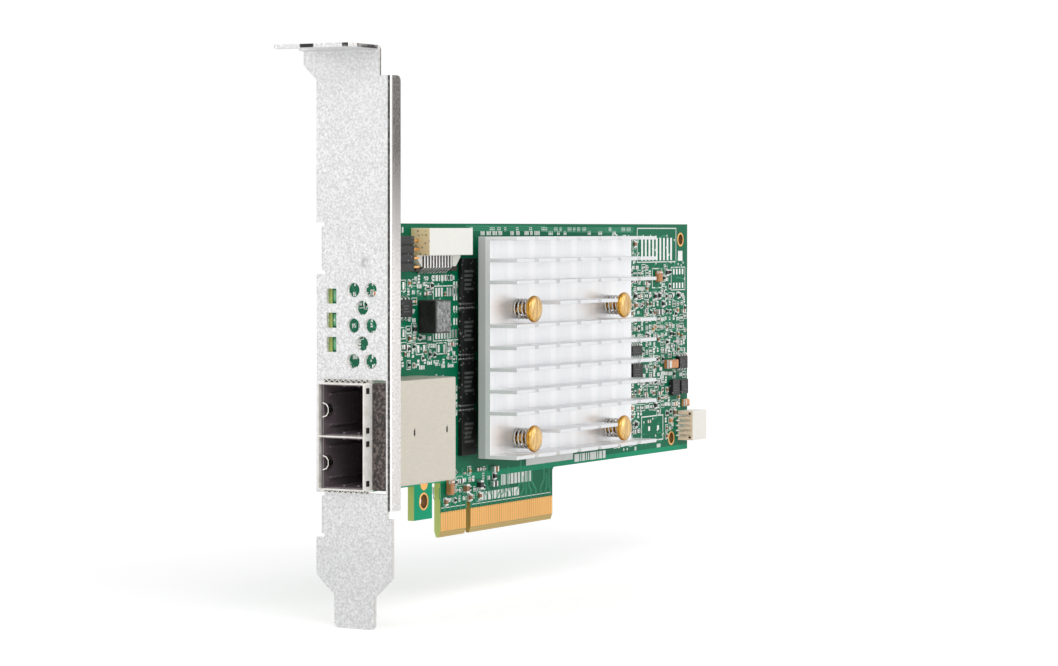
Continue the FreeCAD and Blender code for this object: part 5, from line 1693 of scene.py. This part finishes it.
def side_connector_slot_shade():
    """Two dark patches on the side connector's face: painted shade of its two slots."""
    mesh = bmesh.new()
    low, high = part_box("side_header_housing")
    for z in (low.z + 0.7 * MM, high.z - 0.7 * MM):
        add_block(mesh, (low.x - 0.02 * MM, low.y + 0.5 * MM, z - 0.25 * MM),
                  (low.x + 0.1 * MM, low.y + 1.1 * MM, z + 0.25 * MM))
    make_piece("side_connector_slot_shade", mesh, ["dark_hole"])


def shroud_details():
    """Two rows of pins inside the top connector, and its thin wall's inner ribs."""
    low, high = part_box("shroud_housing")
    foot = high.z - 3.2 * MM
    pins, ribs = bmesh.new(), bmesh.new()
    columns, half = 10, 0.2 * MM
    for i in range(columns):
        x = low.x + (high.x - low.x) * (i + 0.5) / columns
        for height in (1.6, 3.1):
            add_block(pins, (x - half, out(height) - half, foot),
                      (x + half, out(height) + half, high.z - 0.9 * MM))
    for share in (0.28, 0.72):
        x = low.x + (high.x - low.x) * share
        add_block(ribs, (x - 0.5 * MM, out(3.95), foot),
                  (x + 0.5 * MM, out(3.6), high.z - 0.3 * MM))
    make_piece("shroud_pins", pins, ["gold_plate"], edge=0.06 * MM)
    make_piece("shroud_ribs", ribs, ["shroud_moulding"], edge=0.06 * MM)


# Operators

class CardOperator:
    """What every operator of this card shares."""

    bl_options = {"REGISTER", "UNDO"}


class CARD_OT_bracket(CardOperator, bpy.types.Operator):
    """Finish the folded bracket and round its sheared edges"""

    bl_idname = "card.bracket"
    bl_label = "Bracket"

    def execute(self, context):
        dress("bracket", "bracket_steel", sizes().sheet_edge)
        return {"FINISHED"}


class CARD_OT_screws(CardOperator, bpy.types.Operator):
    """Finish the two screws that hold the bracket"""

    bl_idname = "card.screws"
    bl_label = "Bracket screws"

    def execute(self, context):
        machine_screws()
        return {"FINISHED"}


class CARD_OT_board(CardOperator, bpy.types.Operator):
    """Finish the circuit board, its fingers and its plated holes"""

    bl_idname = "card.board"
    bl_label = "Circuit board"

    def execute(self, context):
        dress("circuit_board", "board_laminate", sizes().board_edge)
        for node in ("edge_contacts_front", "edge_contacts_back"):
            dress(node, "gold_plate", 0.02 * MM)
        dress("board_label", "label_paper")
        hole_rings()
        return {"FINISHED"}


class CARD_OT_ports(CardOperator, bpy.types.Operator):
    """Finish the two cable ports, their foam strip and their grounding fingers"""

    bl_idname = "card.ports"
    bl_label = "Cable ports"

    def execute(self, context):
        dress("port_cage", "cage_steel", 0.06 * MM)
        dress("port_gasket", "contact_foam", 0.35 * MM, 3)
        grounding_fingers()
        port_linings()
        port_contacts()
        latch_loops()
        for node in ("port_receptacle_lower", "port_receptacle_upper"):
            dress(node, "black_moulding", 0.1 * MM)
        return {"FINISHED"}


class CARD_OT_heat_sink(CardOperator, bpy.types.Operator):
    """Finish the heat sink and what lies under it"""

    bl_idname = "card.heat_sink"
    bl_label = "Heat sink"

    def execute(self, context):
        dress("heat_sink", "sink_aluminium", sizes().fin_edge)
        dress("controller_substrate", "substrate_laminate", sizes().chip_edge)
        dress("controller_lid", "lid_metal", sizes().moulding_edge)
        dress("thermal_pad", "thermal_compound", sizes().moulding_edge)
        return {"FINISHED"}


class CARD_OT_sprung_pins(CardOperator, bpy.types.Operator):
    """Make the four turned pins and their coil springs"""

    bl_idname = "card.sprung_pins"
    bl_label = "Sprung pins"

    def execute(self, context):
        sprung_pins()
        pin_springs()
        return {"FINISHED"}


class CARD_OT_connectors(CardOperator, bpy.types.Operator):
    """Finish the top connector, the pin header and the side connector"""

    bl_idname = "card.connectors"
    bl_label = "Connectors"

    def execute(self, context):
        edge = sizes().moulding_edge
        dress("shroud_housing", "shroud_moulding", edge)
        dress("shroud_leads", "tinned_metal", 0.04 * MM)
        dress("pin_header_body", "black_moulding", edge)
        dress("pin_header_pins", "gold_plate", 0.08 * MM)
        dress("side_header_housing", "ivory_moulding", edge)
        dress("side_header_contacts", "tinned_metal", 0.05 * MM)
        header_tails()
        lead_shade_bar()
        side_connector_slot_shade()
        shroud_details()
        return {"FINISHED"}


class CARD_OT_chips(CardOperator, bpy.types.Operator):
    """Finish the chips, the inductor and the moulded capacitors"""

    bl_idname = "card.chips"
    bl_label = "Chips and inductor"

    def execute(self, context):
        edge = sizes().chip_edge
        dress("leaded_chips", "black_moulding", edge)
        dress("memory_chips", "black_moulding", edge)
        dress("chip_leads", "tinned_metal", 0.04 * MM)
        dress("power_inductor", "inductor_core", 0.15 * MM)
        dress("inductor_terminals", "tinned_metal", edge)
        dress("tantalum_capacitors", "tantalum_moulding", edge)
        dress("status_leds", "lamp_lens", edge)
        chip_marks()
        polarity_bands()
        return {"FINISHED"}


class CARD_OT_small_parts(CardOperator, bpy.types.Operator):
    """Finish the small two-ended parts on both faces"""

    bl_idname = "card.small_parts"
    bl_label = "Small parts"

    def execute(self, context):
        for node, material in (
            ("ceramic_capacitors", "capacitor_ceramic"), ("chip_resistors", "resistor_ceramic"),
            ("small_part_terminals", "tinned_metal"),
            ("solder_side_capacitors", "capacitor_ceramic"),
            ("solder_side_terminals", "tinned_metal"),
        ):
            dress(node, material, sizes().chip_edge)
        return {"FINISHED"}


class CARD_OT_component_side(CardOperator, bpy.types.Operator):
    """Add the copper lines, print, pads and small parts of the component side"""

    bl_idname = "card.component_side"
    bl_label = "Component side details"

    def execute(self, context):
        component_side()
        return {"FINISHED"}


class CARD_OT_solder_side(CardOperator, bpy.types.Operator):
    """Add the copper lines, joints, print and small parts of the solder side"""

    bl_idname = "card.solder_side"
    bl_label = "Solder side details"

    def execute(self, context):
        solder_side()
        return {"FINISHED"}


# Stage

def white_where_seen(tree):
    """1 for rays that show the background: camera, glossy and transmission rays."""
    path = tree.add("LightPath").outputs
    seen = tree.math("MAXIMUM", path["Is Camera Ray"], path["Is Glossy Ray"])
    return tree.math("MAXIMUM", seen, path["Is Transmission Ray"])


def studio_floor():
    """A pale sheet under the card, which keeps its shadow."""
    made = bpy.data.materials.new("studio_floor")
    made.use_nodes = True
    tree = Tree(made.node_tree)
    tree.nodes.remove(tree.nodes["Principled BSDF"])
    colour = tree.mix(tree.noise(40.0, 4.0), (0.78, 0.78, 0.78), (0.82, 0.82, 0.82))
    matt = tree.add("BsdfDiffuse", {"Color": colour})
    away = tree.add("VectorMath", {0: tree.place()}, operation="LENGTH").outputs["Value"]
    lift = tree.stretch(away, 0.2, 1.2, 0.4, 0.66)
    strength = tree.times(white_where_seen(tree), lift)
    glow = tree.add("Emission", {"Color": (1, 1, 1), "Strength": strength})
    both = tree.add("AddShader", {0: matt.outputs[0], 1: glow.outputs[0]})
    tree.links.new(both.outputs[0], tree.nodes["Material Output"].inputs["Surface"])
    return made


def area_lamp(name, place, target, size, power):
    lamp = bpy.data.lights.new(name, "AREA")
    lamp.shape = "SQUARE"
    lamp.size = size
    lamp.energy = power
    holder = bpy.data.objects.new(name, lamp)
    holder.location = place
    holder.rotation_euler = (Vector(target) - Vector(place)).to_track_quat("-Z", "Y").to_euler()
    bpy.context.scene.collection.objects.link(holder)


class CARD_OT_stage(CardOperator, bpy.types.Operator):
    """Make the floor, the soft light and the camera"""

    bl_idname = "card.stage"
    bl_label = "Stage"

    def execute(self, context):
        scene = context.scene
        mesh = bmesh.new()
        bmesh.ops.create_circle(mesh, cap_ends=True, segments=96, radius=6.0)
        data = bpy.data.meshes.new("floor")
        mesh.to_mesh(data)
        mesh.free()
        data.materials.append(studio_floor())
        floor = bpy.data.objects.new("floor", data)
        floor.location = (0, 0, FLOOR_LEVEL - 0.00002)
        scene.collection.objects.link(floor)

        world = bpy.data.worlds.new("studio")
        world.use_nodes = True
        scene.world = world
        tree = Tree(world.node_tree)
        sky = world.node_tree.nodes["Background"]
        sky.inputs["Color"].default_value = (1, 1, 1, 1)
        tree.links.new(
            tree.stretch(white_where_seen(tree), 0.0, 1.0, 0.62, 1.0), sky.inputs["Strength"]
        )
        middle = (0.02, 0.0, 0.04)
        area_lamp("key", (-0.9, -0.9, 1.1), middle, 0.9, 7.0)
        area_lamp("fill", (-1.2, 0.5, 0.5), middle, 0.9, 1.5)
        area_lamp("side", (0.6, -1.2, 0.5), middle, 0.9, 3.0)

        # The place and lens that fit the card's standard sizes in the photograph
        view = bpy.data.cameras.new("camera")
        view.sensor_width = 36.0
        view.lens = 107.06
        view.shift_x = 0.008615
        view.shift_y = -0.09781
        view.clip_start = 0.01
        view.clip_end = 50.0
        holder = bpy.data.objects.new("camera", view)
        holder.location = (-0.605911, -0.352642, 0.067582)
        holder.rotation_euler = (math.pi / 2, 0, -1.061124)
        scene.collection.objects.link(holder)
        scene.camera = holder
        scene.view_settings.view_transform = "Standard"
        return {"FINISHED"}


STEPS = [
    CARD_OT_bracket, CARD_OT_screws, CARD_OT_board, CARD_OT_ports, CARD_OT_heat_sink,
    CARD_OT_sprung_pins, CARD_OT_connectors, CARD_OT_chips, CARD_OT_small_parts,
    CARD_OT_component_side, CARD_OT_solder_side, CARD_OT_stage,
]


class CARD_PT_panel(bpy.types.Panel):
    """The card's steps and settings in the 3D view's sidebar"""

    bl_idname = "CARD_PT_panel"
    bl_label = "Controller card"
    bl_space_type = "VIEW_3D"
    bl_region_type = "UI"
    bl_category = "Controller card"

    def draw(self, context):
        column = self.layout.column(align=True)
        for step in STEPS:
            column.operator(step.bl_idname)
        for group in (context.scene.card_colours, context.scene.card_sizes):
            box = self.layout.box()
            for name in group.bl_rna.properties.keys():
                if name not in {"rna_type", "name"}:
                    box.prop(group, name)


CLASSES = [CardColours, CardSizes, *STEPS, CARD_PT_panel]


def register():
    for kind in CLASSES:
        bpy.utils.register_class(kind)
    bpy.types.Scene.card_colours = bpy.props.PointerProperty(type=CardColours)
    bpy.types.Scene.card_sizes = bpy.props.PointerProperty(type=CardSizes)


def unregister():
    del bpy.types.Scene.card_sizes
    del bpy.types.Scene.card_colours
    for kind in reversed(CLASSES):
        bpy.utils.unregister_class(kind)


def main():
    register()
    for step in STEPS:
        group, name = step.bl_idname.split(".")
        getattr(getattr(bpy.ops, group), name)()


if __name__ == "__main__":
    main()
